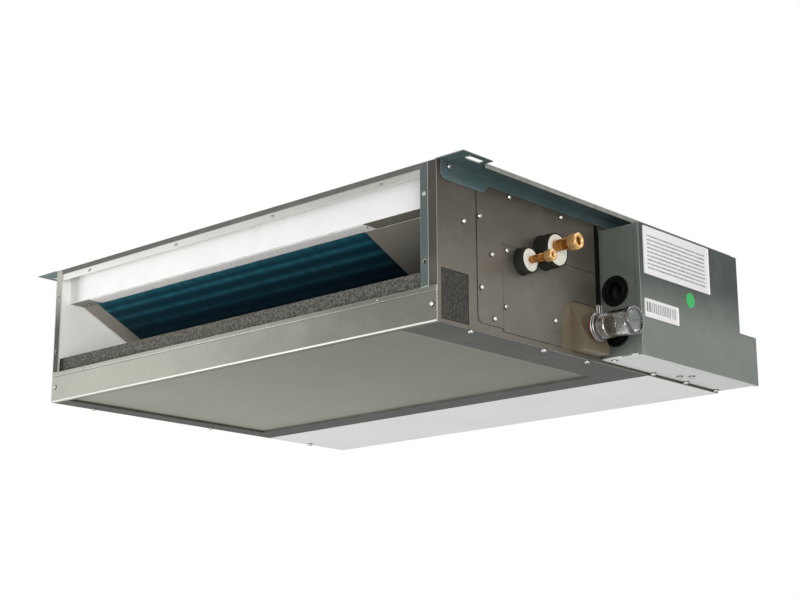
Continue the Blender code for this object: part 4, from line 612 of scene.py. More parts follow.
class Paint:
    """The finishes of this air conditioner, by what they cover."""

    ZINC = SheetMetal("zinc", "galvanised", srgb(156, 155, 146), 0.5, 0.45)
    # Painted highlight along the rounded edges of the zinc sheet.
    ZINC_EDGE = SheetMetal("zinc_edge_highlight", "galvanised", srgb(205, 205, 198), 0.3, 0.8)
    ZINC_TOP = SheetMetal("zinc_top", "galvanised", srgb(150, 149, 141), 0.42, 0.7)
    # Painted shade on the top panel's front lip.
    LIP = SheetMetal("zinc_lip", "galvanised", srgb(92, 92, 88), 0.42, 0.4)
    RAIL_LIP = SheetMetal("zinc_rail_lip", "galvanised_blue", srgb(132, 133, 127), 0.42, 0.4, crystals=0.2)
    # Painted highlight along the rounded edges.
    TOP_EDGE = SheetMetal("zinc_top_edge", "galvanised", srgb(160, 158, 150), 0.34, 0.8)
    # Painted shade: the right side's zinc is darker than the rest, and darker again towards the top.
    ZINC_SIDE = SheetMetal(
        "zinc_side", "galvanised_dark", srgb(116, 111, 101), 0.4, 0.6, rolling=Axis.Y,
        far=srgb(88, 83, 73), fade=(0.05, 0.2), fading=Axis.Z,
    )
    # Painted highlight along the rounded edges.
    SIDE_EDGE = SheetMetal("zinc_side_edge", "galvanised_dark", srgb(168, 164, 154), 0.3, 0.8)
    # Painted shade along the rounded edges.
    PLATE_EDGE = SheetMetal("zinc_plate_edge", "galvanised_dark", srgb(66, 62, 56), 0.4, 0.6)
    ZINC_BLUE = SheetMetal("zinc_hanger", "galvanised_blue", srgb(96, 117, 119), 0.34, 0.6, rolling=Axis.Y)
    # Painted highlight along the rounded edges.
    BLUE_EDGE = SheetMetal("zinc_hanger_edge", "galvanised_blue", srgb(122, 130, 128), 0.3, 0.7)
    # Painted light: lighter at the left end, darker towards the right.
    ZINC_PALE = SheetMetal(
        "zinc_pale", "galvanised_light", srgb(226, 225, 220), 0.4, 0.4,
        far=srgb(176, 175, 168), fade=(-0.4, 0.4),
    )
    PALE_EDGE = SheetMetal("zinc_pale_edge", "galvanised_light", srgb(206, 205, 200), 0.4, 0.5)
    # Painted reflection: dark towards the bottom, pale at the top.
    ZINC_STRIP = SheetMetal(
        "zinc_left_strip", "galvanised", srgb(62, 68, 63), 0.42, 0.5, rolling=Axis.Z,
        far=srgb(176, 176, 166), fade=(0.13, 0.235), fading=Axis.Z,
    )
    ZINC_TEAL = SheetMetal("zinc_right_strip", "galvanised", srgb(84, 94, 92), 0.4, 0.6, rolling=Axis.Z)
    # Painted highlight along the rounded edges.
    TEAL_EDGE = SheetMetal("zinc_right_strip_edge", "galvanised", srgb(206, 210, 205), 0.3, 0.8)
    # Painted light: lighter at the left end, darker towards the right.
    ZINC_FRONT = SheetMetal(
        "zinc_front", "galvanised_light", srgb(172, 171, 161), 0.4, 0.6,
        far=srgb(112, 111, 102), fade=(-0.35, 0.42),
    )
    # Painted highlight along the rounded edges.
    FRONT_EDGE = SheetMetal("zinc_front_edge", "galvanised_light", srgb(234, 232, 225), 0.34, 0.5)
    # Painted shadow in the underside's step walls and under the front hem.
    SHADOW_LINE = SheetMetal("zinc_painted_shadow_line", "galvanised_dark", srgb(70, 68, 62), 0.5, 0.3)
    # Painted shade on the front post of the right side.
    POST = SheetMetal("zinc_post", "galvanised_dark", srgb(64, 61, 54), 0.4, 0.4, rolling=Axis.Z)
    # Painted shade: the underside darkens towards the right.
    ZINC_UNDER = SheetMetal(
        "zinc_underside", "galvanised", srgb(153, 152, 139), 0.42, 0.4,
        far=srgb(115, 114, 102), fade=(-0.42, 0.42),
    )
    ZINC_BORDER = SheetMetal("zinc_underside_border", "galvanised", srgb(63, 62, 56), 0.5, 0.2)
    # A paler sheet, with the floor's reflection painted in.
    ZINC_FAN_UNDER = SheetMetal("zinc_fan_underside", "galvanised_light", srgb(236, 238, 235), 0.36, 0.2)
    ZINC_BOX = SheetMetal("zinc_box", "galvanised_dark", srgb(120, 127, 121), 0.38, 0.5, rolling=Axis.Y)
    # Painted shade: the cover's side darkens towards the top.
    COVER = SheetMetal(
        "zinc_cover", "galvanised_dark", srgb(122, 129, 121), 0.38, 0.5, rolling=Axis.Y,
        far=srgb(54, 62, 57), fade=(0.055, 0.17), fading=Axis.Z,
    )
    BOX_UNDER = SheetMetal(
        "zinc_box_underside", "galvanised_light", srgb(216, 219, 215), 0.38, 0.2, rolling=Axis.Y
    )
    # Painted highlight along the rounded edges.
    BOX_EDGE = SheetMetal("zinc_box_edge", "galvanised_dark", srgb(172, 176, 172), 0.3, 0.7)
    ZINC_INNER = SheetMetal("zinc_blank_off", "galvanised_dark", srgb(140, 136, 126), 0.45, 0.35)
    ZINC_END = SheetMetal("zinc_coil_end", "galvanised", srgb(156, 148, 138), 0.45, 0.35, rolling=Axis.Y)
    WHITE = Finish("white_coat", "white_sheet", srgb(240, 241, 239), 0.5, 0.0, 0.02)
    TAPE = Foam(
        "sealing_strip", "white_foam", srgb(242, 240, 237), 0.8, cell=srgb(214, 211, 207), contrast=0.5
    )
    LINER = Foam("liner_foam", "white_foam", srgb(252, 252, 248), 0.8, cell=srgb(238, 238, 232), contrast=0.4)
    GREY_FOAM = Foam(
        "grey_foam", "grey_foam", srgb(62, 60, 54), 0.92, bump=0.5,
        cell=srgb(132, 130, 121), size=170.0, contrast=0.5,
    )
    # Painted shade: the drain pan's foam, darker where it shows through the side panel's cut-out.
    PATCH_FOAM = Foam(
        "patch_foam", "grey_foam", srgb(46, 44, 40), 0.92, bump=0.5, cell=srgb(84, 81, 74), size=220.0
    )
    FOAM_FACE = Foam(
        "pipe_foam", "white_foam", srgb(240, 238, 225), 0.85, cell=srgb(214, 211, 198), contrast=0.5
    )
    RUBBER = Finish("rubber", "rubber", srgb(32, 33, 28), 0.7, 0.0, 0.15, 0.03, 0.25)
    # Black rubber of the grommets, also used as painted shadow in the box's gap and in the lip's slot.
    GROMMET_AND_SHADOW = Finish("grommet_rubber_and_painted_shadow", "rubber", srgb(9, 9, 9), 0.6, 0.0, 0.1, 0.0, 0.1)
    PAN = Finish("pan_plastic", "pan_plastic", srgb(92, 88, 80), 0.6)
    CUP = Finish("cup_plastic", "cup_plastic", srgb(108, 98, 80), 0.48)
    CLEAR = ClearPlastic("clear_plastic", "clear_plastic", srgb(244, 247, 245), 0.02)
    HOUSING = Finish("fan_housing_plastic", "housing_plastic", srgb(196, 196, 190))
    IMPELLER = Finish("impeller_plastic", "impeller_plastic", srgb(44, 45, 48), 0.45)
    MOTOR = Finish("motor_paint", "motor_paint", srgb(62, 65, 68), 0.45, 0.2)
    STEEL = TurnedMetal("bright_steel", "steel", srgb(196, 196, 194), 0.28, 0.8, tarnish=srgb(130, 126, 120))
    HEAD = TurnedMetal(
        "screw_head", "steel", srgb(234, 233, 228), 0.22, 0.9, tarnish=srgb(120, 114, 104), axis=Axis.Z
    )
    # Painted shade: the washer face is darker than the head, as shade round it.
    WASHER = TurnedMetal(
        "screw_washer", "steel", srgb(84, 80, 74), 0.4, 0.6, tarnish=srgb(58, 54, 48), axis=Axis.Z
    )
    COPPER = TurnedMetal("copper", "copper", srgb(206, 132, 92), 0.3, 0.9, tarnish=srgb(120, 66, 44))
    UNION = TurnedMetal("union_brass", "brass", srgb(184, 126, 62), 0.32, 0.8, tarnish=srgb(128, 76, 34))
    SEAL = Finish("seal_ring", "cup_plastic", srgb(128, 58, 36))
    BRASS = TurnedMetal("brass", "brass", srgb(240, 196, 132), 0.26, 0.8, tarnish=srgb(190, 132, 72))
    FILTER = Finish("filter_plastic", "filter_plastic", srgb(52, 54, 56))
    NET = Net("filter_net", "filter_net", srgb(78, 80, 82), 0.7)
    BOARD = Finish("board_green", "board_green", srgb(28, 86, 48), 0.35)
    TERMINAL = Finish("terminal_white", "terminal_white", srgb(226, 223, 212), 0.4)
    CHIP = Finish("component_black", "board_green", srgb(24, 24, 26), 0.4)
    GREEN_DOT = Finish("green_sticker", "board_green", srgb(34, 186, 92), 0.4, 0.0, 0.02)


# Modelling helpers


def deselect() -> None:
    """Leave edit mode and deselect everything."""
    active = bpy.context.view_layer.objects.active
    if active is not None and active.mode != "OBJECT":
        bpy.ops.object.mode_set(mode="OBJECT")
    bpy.ops.object.select_all(action="DESELECT")


def activate(*pieces: Piece) -> None:
    """Select only these pieces and make the first one active.

    Args:
        *pieces: The pieces to select.
    """
    deselect()
    for piece in pieces:
        piece.select_set(True)
    bpy.context.view_layer.objects.active = pieces[0]


def link(name: str, data: bpy.types.ID) -> Piece:
    """Add an object with this data to the scene.

    Args:
        name: The object's name.
        data: Its curve, lamp or camera.

    Returns:
        The new object.
    """
    made = bpy.data.objects.new(name, data)
    bpy.context.scene.collection.objects.link(made)
    return made


def settle(name: str) -> Piece:
    """Name the new primitive and put its place into its mesh.

    Args:
        name: The piece's name.

    Returns:
        The new piece.
    """
    piece = bpy.context.object
    piece.name = piece.data.name = name
    bpy.ops.object.transform_apply(location=True, rotation=True, scale=True)
    return piece


def middle_of(box: Box) -> Vector:
    """The middle of a box."""
    return (box[0] + box[1]) / 2


def girth(box: Box) -> tuple[float, float]:
    """The length along X and the radius of a round piece, by its box."""
    return box[1].x - box[0].x, (box[1].y - box[0].y) / 2


def add_box(name: str, low: Sequence[float], high: Sequence[float]) -> Piece:
    """Add a box between two corners.

    Args:
        name: The piece's name.
        low: The lowest corner.
        high: The highest corner.

    Returns:
        The new piece, at the origin with its place in its mesh.
    """
    deselect()
    low, high = Vector(low), Vector(high)
    bpy.ops.mesh.primitive_cube_add(size=1.0, location=(low + high) / 2, scale=high - low)
    return settle(name)


def add_rod(
    name: str, start: Sequence[float], end: Sequence[float], radius: float, sides: int = 32
) -> Piece:
    """Add a cylinder between two points.

    Args:
        name: The piece's name.
        start: The middle of one end.
        end: The middle of the other end.
        radius: The cylinder's radius.
        sides: The number of flats round it.

    Returns:
        The new piece.
    """
    deselect()
    start, end = Vector(start), Vector(end)
    turn = (end - start).to_track_quat("Z", "Y").to_euler()
    bpy.ops.mesh.primitive_cylinder_add(
        vertices=sides, radius=radius, depth=(end - start).length, location=(start + end) / 2, rotation=turn
    )
    return settle(name)


def add_tube(name: str, points: Sequence[Vector], radius: float, sides: int = 12) -> Piece:
    """Sweep a closed round tube along points.

    Args:
        name: The piece's name.
        points: The middle line.
        radius: The tube's radius.
        sides: The number of flats round it.

    Returns:
        The new mesh.
    """
    line = bpy.data.curves.new(name, "CURVE")
    line.dimensions = "3D"
    line.bevel_depth = radius
    line.bevel_resolution = max(0, sides // 4 - 1)
    line.use_fill_caps = True
    spline = line.splines.new("POLY")
    spline.points.add(len(points) - 1)
    for row, point in zip(spline.points, points):
        row.co = (*point, 1.0)
    activate(link(name, line))
    bpy.ops.object.convert(target="MESH")
    piece = bpy.context.object
    piece.name = piece.data.name = name
    return piece


def turned(
    name: str, profile: Profile, start: Sequence[float], steps: int = 48, axis: Axis = Axis.X
) -> Piece:
    """Spin a closed outline round an axis.

    Args:
        name: The piece's name.
        profile: (along, radius) pairs, all off the axis.
        start: The point of the axis where along is zero.
        steps: The number of flats round it.
        axis: The axis of the spin.

    Returns:
        The new ring-shaped piece.
    """
    deselect()
    bpy.ops.mesh.primitive_circle_add(vertices=len(profile), radius=1.0)
    piece = settle(name)
    start = Vector(start)
    for vertex, (along, radius) in zip(piece.data.vertices, profile):
        vertex.co = start + axis.vector() * along + Vector((0.0, 0.0, radius))
    pick(piece, "VERT", lambda vertex: True)
    bpy.ops.mesh.spin(steps=steps, angle=2 * math.pi, center=start, axis=axis.vector(), use_auto_merge=True)
    bpy.ops.mesh.select_all(action="SELECT")
    bpy.ops.mesh.remove_doubles(threshold=MERGE)
    return end_edit(piece)


def modify(piece: Piece, kind: str, **settings: object) -> Piece:
    """Add a modifier with these settings and apply it.

    Args:
        piece: The piece to change.
        kind: The modifier's type.
        **settings: Its properties.

    Returns:
        The same piece.
    """
    activate(piece)
    made = piece.modifiers.new(kind.lower(), kind)
    for key, value in settings.items():
        setattr(made, key, value)
    bpy.ops.object.modifier_apply(modifier=made.name)
    return piece


def round_edges(piece: Piece, width: float, segments: int = 2, angle: float = SHARP) -> Piece:
    """Round every edge sharper than an angle, with the piece's last finish on the rounding.

    Args:
        piece: The piece to round.
        width: The rounding's width.
        segments: The faces across it.
        angle: The least angle in degrees.

    Returns:
        The same piece.
    """
    settings = {"limit_method": "ANGLE", "angle_limit": math.radians(angle), "segments": segments}
    last = len(piece.data.materials) - 1
    return modify(piece, "BEVEL", width=width, material=last, loop_slide=False, **settings)


def pick(piece: Piece, mode: str, test: Callable[[object], bool]) -> None:
    """Enter edit mode and select the parts of the mesh that pass a test.

    Args:
        piece: The piece to edit.
        mode: VERT, EDGE or FACE.
        test: Takes a vertex, edge or face of the edit mesh.
    """
    activate(piece)
    bpy.ops.object.mode_set(mode="EDIT")
    bpy.ops.mesh.select_mode(type=mode)
    bpy.ops.mesh.select_all(action="DESELECT")
    mesh = bmesh.from_edit_mesh(piece.data)
    rows = {"VERT": mesh.verts, "EDGE": mesh.edges, "FACE": mesh.faces}[mode]
    for row in [row for row in rows if test(row)]:
        row.select_set(True)
    mesh.select_flush(True)
    bmesh.update_edit_mesh(piece.data)


def end_edit(piece: Piece) -> Piece:
    """Make the normals point outwards and leave edit mode.

    Args:
        piece: The piece that was edited.

    Returns:
        The same piece.
    """
    bpy.ops.mesh.select_all(action="SELECT")
    bpy.ops.mesh.normals_make_consistent(inside=False)
    bpy.ops.object.mode_set(mode="OBJECT")
    return piece


def copy_of(piece: Piece, name: str, matrix: Matrix | None = None) -> Piece:
    """Copy a piece with its own mesh, moved by a matrix.

    Args:
        piece: The piece to copy.
        name: The copy's name.
        matrix: What moves it, if anything.

    Returns:
        The copy.
    """
    made = piece.copy()
    made.data = piece.data.copy()
    made.name = made.data.name = name
    bpy.context.scene.collection.objects.link(made)
    if matrix is not None:
        made.data.transform(matrix)
    return made


def join(name: str, pieces: Sequence[Piece]) -> Piece:
    """Join pieces into one and name it.

    Args:
        name: The new name.
        pieces: The pieces to join.

    Returns:
        The joined piece.
    """
    activate(*pieces)
    if len(pieces) > 1:
        bpy.ops.object.join()
    made = bpy.context.object
    made.name = made.data.name = name
    return made


def coat(piece: Piece, finishes: Sequence[Finish]) -> None:
    """Give a piece the materials of its finishes."""
    for finish in finishes:
        piece.data.materials.append(finish.material())


def dress(
    piece: Piece, *finishes: Finish, body: Body = Body.CABINET, replaces: Sequence[str] = (),
    angle: float = SHARP,
) -> Piece:
    """Give a finished piece its materials, its body and the nodes that it stands for.

    Args:
        piece: The finished mesh.
        *finishes: The finish of the faces, then that of rounded edges.
        body: The body that it rides on.
        replaces: The nodes that it replaces.
        angle: Edges sharper than this stay sharp.

    Returns:
        The same piece.
    """
    activate(piece)
    bpy.ops.object.shade_smooth_by_angle(angle=math.radians(angle))
    if not piece.data.materials:
        coat(piece, finishes)
    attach(piece, body.value)
    if replaces:
        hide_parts(*replaces)
    LOG.info("%s: %d faces", piece.name, len(piece.data.polygons))
    return piece


def rounded_box(
    name: str, low: Sequence[float], high: Sequence[float], width: float, *finishes: Finish, segments: int = 2
) -> Piece:
    """Add a box with rounded edges in its finishes, on the cabinet.

    Args:
        name: The piece's name.
        low: The lowest corner.
        high: The highest corner.
        width: The rounding's width.
        *finishes: The finish of the faces, then that of the rounded edges.
        segments: The faces across the rounding.

    Returns:
        The dressed box.
    """
    piece = add_box(name, low, high)
    coat(piece, finishes)
    return dress(round_edges(piece, width, segments), *finishes)


def formed_copy(node: str, width: float, *finishes: Finish, segments: int = 2) -> Piece:
    """Copy a node's mesh, join its loose triangles into faces and roll its edges.

    Args:
        node: The node's name.
        width: The rounding's width.
        *finishes: The finish of the faces, then that of the rounded edges.
        segments: The faces across the rounding.

    Returns:
        The new piece.
    """
    piece = copy_of(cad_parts[node], node + "_formed")
    piece.parent = None
    for key in [key for key in piece.keys() if key.startswith("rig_")]:
        del piece[key]
    pick(piece, "VERT", lambda vertex: True)
    bpy.ops.mesh.remove_doubles(threshold=NODE_MERGE)
    bpy.ops.mesh.dissolve_limited(angle_limit=math.radians(FLAT))
    end_edit(piece)
    piece.data.materials.clear()
    coat(piece, finishes)
    return round_edges(piece, width, segments)


def form(
    node: str, width: float, *finishes: Finish, body: Body = Body.CABINET, segments: int = 2,
    angle: float = SHARP,
) -> Piece:
    """Replace a node by its formed copy.

    Args:
        node: The node's name.
        width: The rounding's width.
        *finishes: The finish of the faces, then that of the rounded edges.
        body: The body that the piece rides on.
        segments: The faces across the rounding.
        angle: Edges sharper than this stay sharp.

    Returns:
        The dressed piece.
    """
    piece = formed_copy(node, width, *finishes, segments=segments)
    dress(piece, *finishes, body=body, replaces=[node], angle=angle)
    return modify(piece, "WEIGHTED_NORMAL", keep_sharp=True)


def repaint(piece: Piece, finish: Finish, test: Callable[[Face], bool], index: int = 0) -> None:
    """Give the faces that pass a test a further finish.

    Args:
        piece: The formed piece.
        finish: The further finish.
        test: Takes a face of the mesh.
        index: Only faces with this material slot change; 0 is the sheet, 1 its rolled edges.
    """
    coat(piece, [finish])
    for face in piece.data.polygons:
        if face.material_index == index and test(face):
            face.material_index = len(piece.data.materials) - 1


def seat(spot: Vector, facing: Vector) -> Vector:
    """Move a point along a direction to the surface that lies there.

    Args:
        spot: A point near the surface.
        facing: The way that the surface faces.

    Returns:
        The point on the surface, or the same point where there is none.
    """
    graph = bpy.context.evaluated_depsgraph_get()
    start = spot + facing * SEAT_REACH
    found, place, *_ = bpy.context.scene.ray_cast(graph, start, -facing, distance=2 * SEAT_REACH)
    if not found:
        LOG.warning("no surface behind the point %s", tuple(round(value, 3) for value in spot))
    return place if found else spot


# Sub-assemblies


@dataclass
class Studio:
    """Camera at the photograph's angle, soft lamps, pale floor and pale background."""

    camera_at: Point = (1.9555, -2.1324, -0.5555)
    looks_along: Point = (-0.6504, 0.7186, 0.2463)
    roll: float = math.radians(-0.27)
    lens: float = 73.19
    sensor: float = 36.0
    floor_z: float = -1.9
    floor_size: float = 40.0
    floor_glow: float = 0.42
    ambient: float = 0.35
    beam: float = math.radians(16.0)
    middle: Point = (0.0, 0.0, 0.12)
    left_wall: Point = (-0.49, -0.18, 0.14)
    lamps: tuple[tuple[str, Point, float, float], ...] = (
        ("side_lamp", (2.6, -1.9, -0.2), 1.4, 40.0),
        ("left_lamp", (-1.9, -2.3, -1.0), 1.6, 44.0),
        ("under_lamp", (-1.2, -0.6, -1.4), 1.8, 5.5),
        ("top_lamp", (0.4, 0.6, 2.6), 2.6, 38.0),
    )

    def build(self) -> None:
        """Make the camera, the lamps, the floor and the background."""
        self.add_camera()
        for name, place, size, power in self.lamps:
            self.add_lamp(name, "AREA", place, self.middle, power, size=size)
        beam = {"spot_size": self.beam, "spot_blend": 1.0, "shadow_soft_size": 0.2}
        self.add_lamp("opening_lamp", "SPOT", (1.4, -1.5, -0.1), self.left_wall, 50.0, **beam)
        self.add_floor()
        self.set_background()

    def add_camera(self) -> None:
        """Place the camera where the photograph was taken from."""
        data = bpy.data.cameras.new("photo_camera")
        data.lens = self.lens
        data.sensor_width = self.sensor
        data.clip_start, data.clip_end = 0.02, 100.0
        camera = link("photo_camera", data)
        camera.location = self.camera_at
        turn = Vector(self.looks_along).to_track_quat("-Z", "Y").to_matrix()
        camera.rotation_euler = (turn @ Matrix.Rotation(self.roll, 3, "Z")).to_euler()
        bpy.context.scene.camera = camera

    def add_lamp(
        self, name: str, kind: str, place: Point, target: Point, power: float, **settings: float
    ) -> None:
        """Hang a soft lamp and turn it to what it lights.

        Args:
            name: The lamp's name.
            kind: AREA for a square lamp, SPOT for a narrow beam.
            place: Where it hangs.
            target: The point that it lights.
            power: Its power in watts.
            **settings: Its other properties.
        """
        data = bpy.data.lights.new(name, kind)
        data.energy = power
        for key, value in settings.items():
            setattr(data, key, value)
        lamp = link(name, data)
        lamp.location = place
        lamp.rotation_euler = (Vector(target) - lamp.location).to_track_quat("-Z", "Y").to_euler()

    def add_floor(self) -> None:
        """Lay the pale floor, which is clear from below."""
        deselect()
        bpy.ops.mesh.primitive_plane_add(size=self.floor_size, location=(0.0, 0.0, self.floor_z))
        floor = settle("studio_floor")
        made, graph, shader = new_material("studio_floor")
        drift = graph.noise(graph.place(), 1.5)
        colour = graph.mix(drift, (0.3, 0.3, 0.3, 1.0), (0.34, 0.34, 0.34, 1.0))
        graph.fill(shader, {"Base Color": colour, "Roughness": 0.9})
        graph.fill(shader, {"Emission Color": WHITE, "Emission Strength": self.floor_glow})
        behind = graph.node("ShaderNodeNewGeometry").outputs["Backfacing"]
        clear = graph.node("ShaderNodeBsdfTransparent").outputs[0]
        mixed = graph.node("ShaderNodeMixShader", {0: behind, 1: shader.outputs[0], 2: clear})
        graph.fill(made.node_tree.nodes["Material Output"], {"Surface": mixed.outputs[0]})
        floor.data.materials.append(made)

    def set_background(self) -> None:
        """Make the background white for the eye and for reflections, and softer as light."""
        world = bpy.data.worlds.new("studio_world")
        bpy.context.scene.world = world
        world.use_nodes = True
        graph = Graph(world.node_tree)
        path = graph.node("ShaderNodeLightPath").outputs
        seen = graph.maths("MAXIMUM", path["Is Camera Ray"], path["Is Glossy Ray"])
        seen = graph.maths("MAXIMUM", seen, path["Is Transmission Ray"])
        strength = graph.span(seen, 0.0, 1.0, self.ambient, 1.0)
        graph.fill(world.node_tree.nodes["Background"], {"Strength": strength, "Color": WHITE})


@dataclass
class Fasteners:
    """Pan-head screws with a washer face and a cross recess, copied to every place."""

    washer_radius: float = 4.0 * MM
    washer_height: float = 0.7 * MM
    head_radius: float = 3.0 * MM
    head_height: float = 2.1 * MM
    crown: float = 0.72
    slot_width: float = 0.9 * MM
    slot_length: float = 3.6 * MM
    slot_depth: float = 1.2 * MM
    seed: int = 7
    master: Piece | None = None
    turns: random.Random = field(init=False)

    def __post_init__(self) -> None:
        """Start the seeded turns and model the first screw."""
        self.turns = random.Random(self.seed)
        self.master = self.model()

    def model(self) -> Piece:
        """Model one screw that points along +Z with its washer face at the origin.

        Returns:
            The first screw.
        """
        top = self.washer_height + self.head_height
        screw = add_rod("screw_master", (0, 0, 0), (0, 0, self.washer_height), self.washer_radius, 20)
        pick(screw, "FACE", lambda face: face.normal.z > 0.9)
        for inset, share in ((self.washer_radius - self.head_radius, 0.55), (0.0, 0.45)):
            bpy.ops.mesh.inset(thickness=inset, depth=0.0)
            rise = {"value": (0, 0, self.head_height * share)}
            bpy.ops.mesh.extrude_region_move(TRANSFORM_OT_translate=rise)
        bpy.ops.transform.resize(value=(self.crown, self.crown, 1.0), center_override=(0, 0, top))
        bpy.ops.mesh.remove_doubles(threshold=MERGE)
        end_edit(screw)
        half, deep = self.slot_width / 2, top - self.slot_depth
        for x, y in ((self.slot_length / 2, half), (half, self.slot_length / 2)):
            cutter = add_box("slot_cutter", (-x, -y, deep), (x, y, top + MM))
            modify(screw, "BOOLEAN", object=cutter, operation="DIFFERENCE")
            bpy.data.objects.remove(cutter)
        coat(screw, (Paint.HEAD, Paint.WASHER))
        # The washer face takes the darker finish, as painted shade round the head.
        for face in screw.data.polygons:
            face.material_index = int(face.center.z < self.washer_height + 0.01 * MM)
        return screw

    def place(self, name: str, spots: Sequence[Vector], facing: Vector, scale: float) -> None:
        """Copy the screw to several spots of one face and join the copies.

        Args:
            name: The name of the joined screws.
            spots: Where each washer face sits.
            facing: The direction that the heads point in.
            scale: The screw's size against the first one.
        """
        aim = facing.to_track_quat("Z", "Y").to_matrix().to_4x4()
        copies = []
        for index, spot in enumerate(spots):
            spin = Matrix.Rotation(self.turns.uniform(0.0, math.pi), 4, "Z")
            matrix = Matrix.Translation(spot) @ aim @ spin @ Matrix.Scale(scale, 4)
            copies.append(copy_of(self.master, f"{name}_{index}", matrix))
        dress(join(name, copies), Paint.HEAD, angle=30.0)

    def clear(self) -> None:
        """Remove the first screw once every copy is made."""
        bpy.data.objects.remove(self.master)


@dataclass
class Casing:
    """Panels, plates and flanges of zinc-coated sheet, with their screws."""

    screws: Fasteners
    cabinet: Cabinet
    edge: float = 0.4 * MM
    hem_height: float = 7.6 * MM
    foot_height: float = 2.6 * MM
    hem_rise: float = 0.6 * MM
    shadow_line_height: float = 0.9 * MM
    gap_shadow_clearance: float = 0.3 * MM
    rail_sheet: float = 1.5 * MM
    slots: tuple[tuple[float, float], ...] = ((511.0, 40.0), (494.0, 735.0))
    slot_length: float = 36.0 * MM
    slot_width: float = 12.0 * MM
    rim: float = 0.9 * MM
    rim_steps: int = 32

    def build(self) -> None:
        """Form each sheet piece from its node and set the screws."""
        zinc, plate = (Paint.ZINC, Paint.ZINC_EDGE), (Paint.ZINC_SIDE, Paint.PLATE_EDGE)
        blue, box = (Paint.ZINC_BLUE, Paint.BLUE_EDGE), (Paint.ZINC_BOX, Paint.BOX_EDGE)
        sheets = {
            "top_panel": (Paint.ZINC_TOP, Paint.TOP_EDGE),
            "left_side_panel": zinc,
            "right_side_panel": plate,
            "access_plate": plate,
            "pipe_plate": plate,
            "lower_front_panel": (Paint.ZINC_FRONT, Paint.FRONT_EDGE),
            "coil_bottom_panel": (Paint.ZINC_UNDER, Paint.PLATE_EDGE),
            "fan_bottom_panel": (Paint.ZINC_FAN_UNDER, Paint.PALE_EDGE),
            "discharge_flange_left": (Paint.ZINC_STRIP, Paint.ZINC_EDGE),
            "discharge_flange_right": (Paint.ZINC_TEAL, Paint.TEAL_EDGE),
            "discharge_flange_top": (Paint.ZINC_PALE, Paint.PALE_EDGE),
            "upper_baffle": (Paint.WHITE, Paint.WHITE),
            "blank_off_plate": (Paint.ZINC_INNER, Paint.SIDE_EDGE),
            "coil_end_plate_left": (Paint.ZINC_END, Paint.PLATE_EDGE),
            "coil_end_plate_right": (Paint.ZINC_PALE, Paint.PALE_EDGE),
            "partition_plate": zinc,
            "return_flange_top": zinc,
            "return_flange_bottom": zinc,
            "motor_cradle": zinc,
            "hanger_rail_left": blue,
            "hanger_rail_right": blue,
            "ebox_body": box,
            "ebox_cover": box,
        }
        for node, finishes in sheets.items():
            self.shade_parts(node, form(node, self.edge, *finishes))
        self.add_hems()
        self.add_gap_shadow()
        self.add_slot_rims()
        self.add_screws()

    def shade_parts(self, node: str, piece: Piece) -> None:
        """Repaint the parts of a panel that show another shade than its middle, with painted shadow, painted
        highlights and painted shade among them.

        Args:
            node: The node that the panel stands for.
            piece: The formed panel.
        """
        low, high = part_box(node)
        base, front, right = low.z + MM, low.y + MM, high.x
        if node == "coil_bottom_panel":
            repaint(piece, Paint.ZINC_BORDER, lambda face: face.center.z < low.z + 0.5 * MM)
            # Painted shadow in the step walls round the recess.
            repaint(piece, Paint.SHADOW_LINE, lambda face: abs(face.normal.z) < 0.5)
            # Painted highlight on the rounded corner along the right side of the base.
            corner = right - MM
            repaint(piece, Paint.PALE_EDGE, lambda face: face.center.x > corner and face.center.z < base, 1)
        elif node == "right_side_panel":
            # Painted shade on the front post, and a painted highlight on its rounded corner.
            repaint(piece, Paint.POST, lambda face: face.normal.y < -0.9 and face.center.y < front + MM)
            corner = right - 2 * self.edge
            repaint(piece, Paint.SIDE_EDGE, lambda face: face.center.x > corner and face.center.y < front, 1)
        elif node == "top_panel":
            # Painted shade on the front lip and its rounded edges.
            for index in (0, 1):
                repaint(piece, Paint.LIP, lambda face: face.center.y < front, index)
        elif node.startswith("hanger_rail"):
            lip = low.z + 18 * MM
            repaint(piece, Paint.RAIL_LIP, lambda face: abs(face.normal.x) > 0.9 and face.center.z > lip)
        elif node.startswith("ebox"):
            repaint(piece, Paint.BOX_UNDER, lambda face: face.normal.z < -0.9 and face.center.z < base)
            if node == "ebox_cover":
                # Painted shade: the cover's side darkens towards the top.
                repaint(piece, Paint.COVER, lambda face: face.normal.x > 0.9)
        elif node == "upper_baffle":
            repaint(piece, Paint.ZINC_INNER, lambda face: face.normal.z < -0.9 and face.center.z < base)

    def add_hems(self) -> None:
        """Lay the folded hems along the top and the bottom of the lower front panel, the bottom one bright as
        a painted highlight, and a dark strip under the top one as a painted shadow line.
        """
        low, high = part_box("lower_front_panel")
        base = high.z - self.hem_height
        hem, edge = Paint.ZINC_FRONT, Paint.FRONT_EDGE
        for name, start, top, rise, finishes in (
            ("front_panel_hem", base, high.z, self.hem_rise, (hem, edge)),
            # The foot in the bright edge finish is a painted highlight.
            ("front_panel_foot_highlight", low.z, low.z + self.foot_height, self.hem_rise, (edge,)),
            # A dark strip under the top hem, as a painted shadow line.
            ("front_panel_shadow_line", base - self.shadow_line_height, base + 0.1 * MM, self.hem_rise / 3, (Paint.SHADOW_LINE,)),
        ):
            corner = (high.x - MM, low.y + 0.2 * MM, top)
            rounded_box(name, (low.x + MM, low.y - rise, start), corner, 0.4 * rise, *finishes)

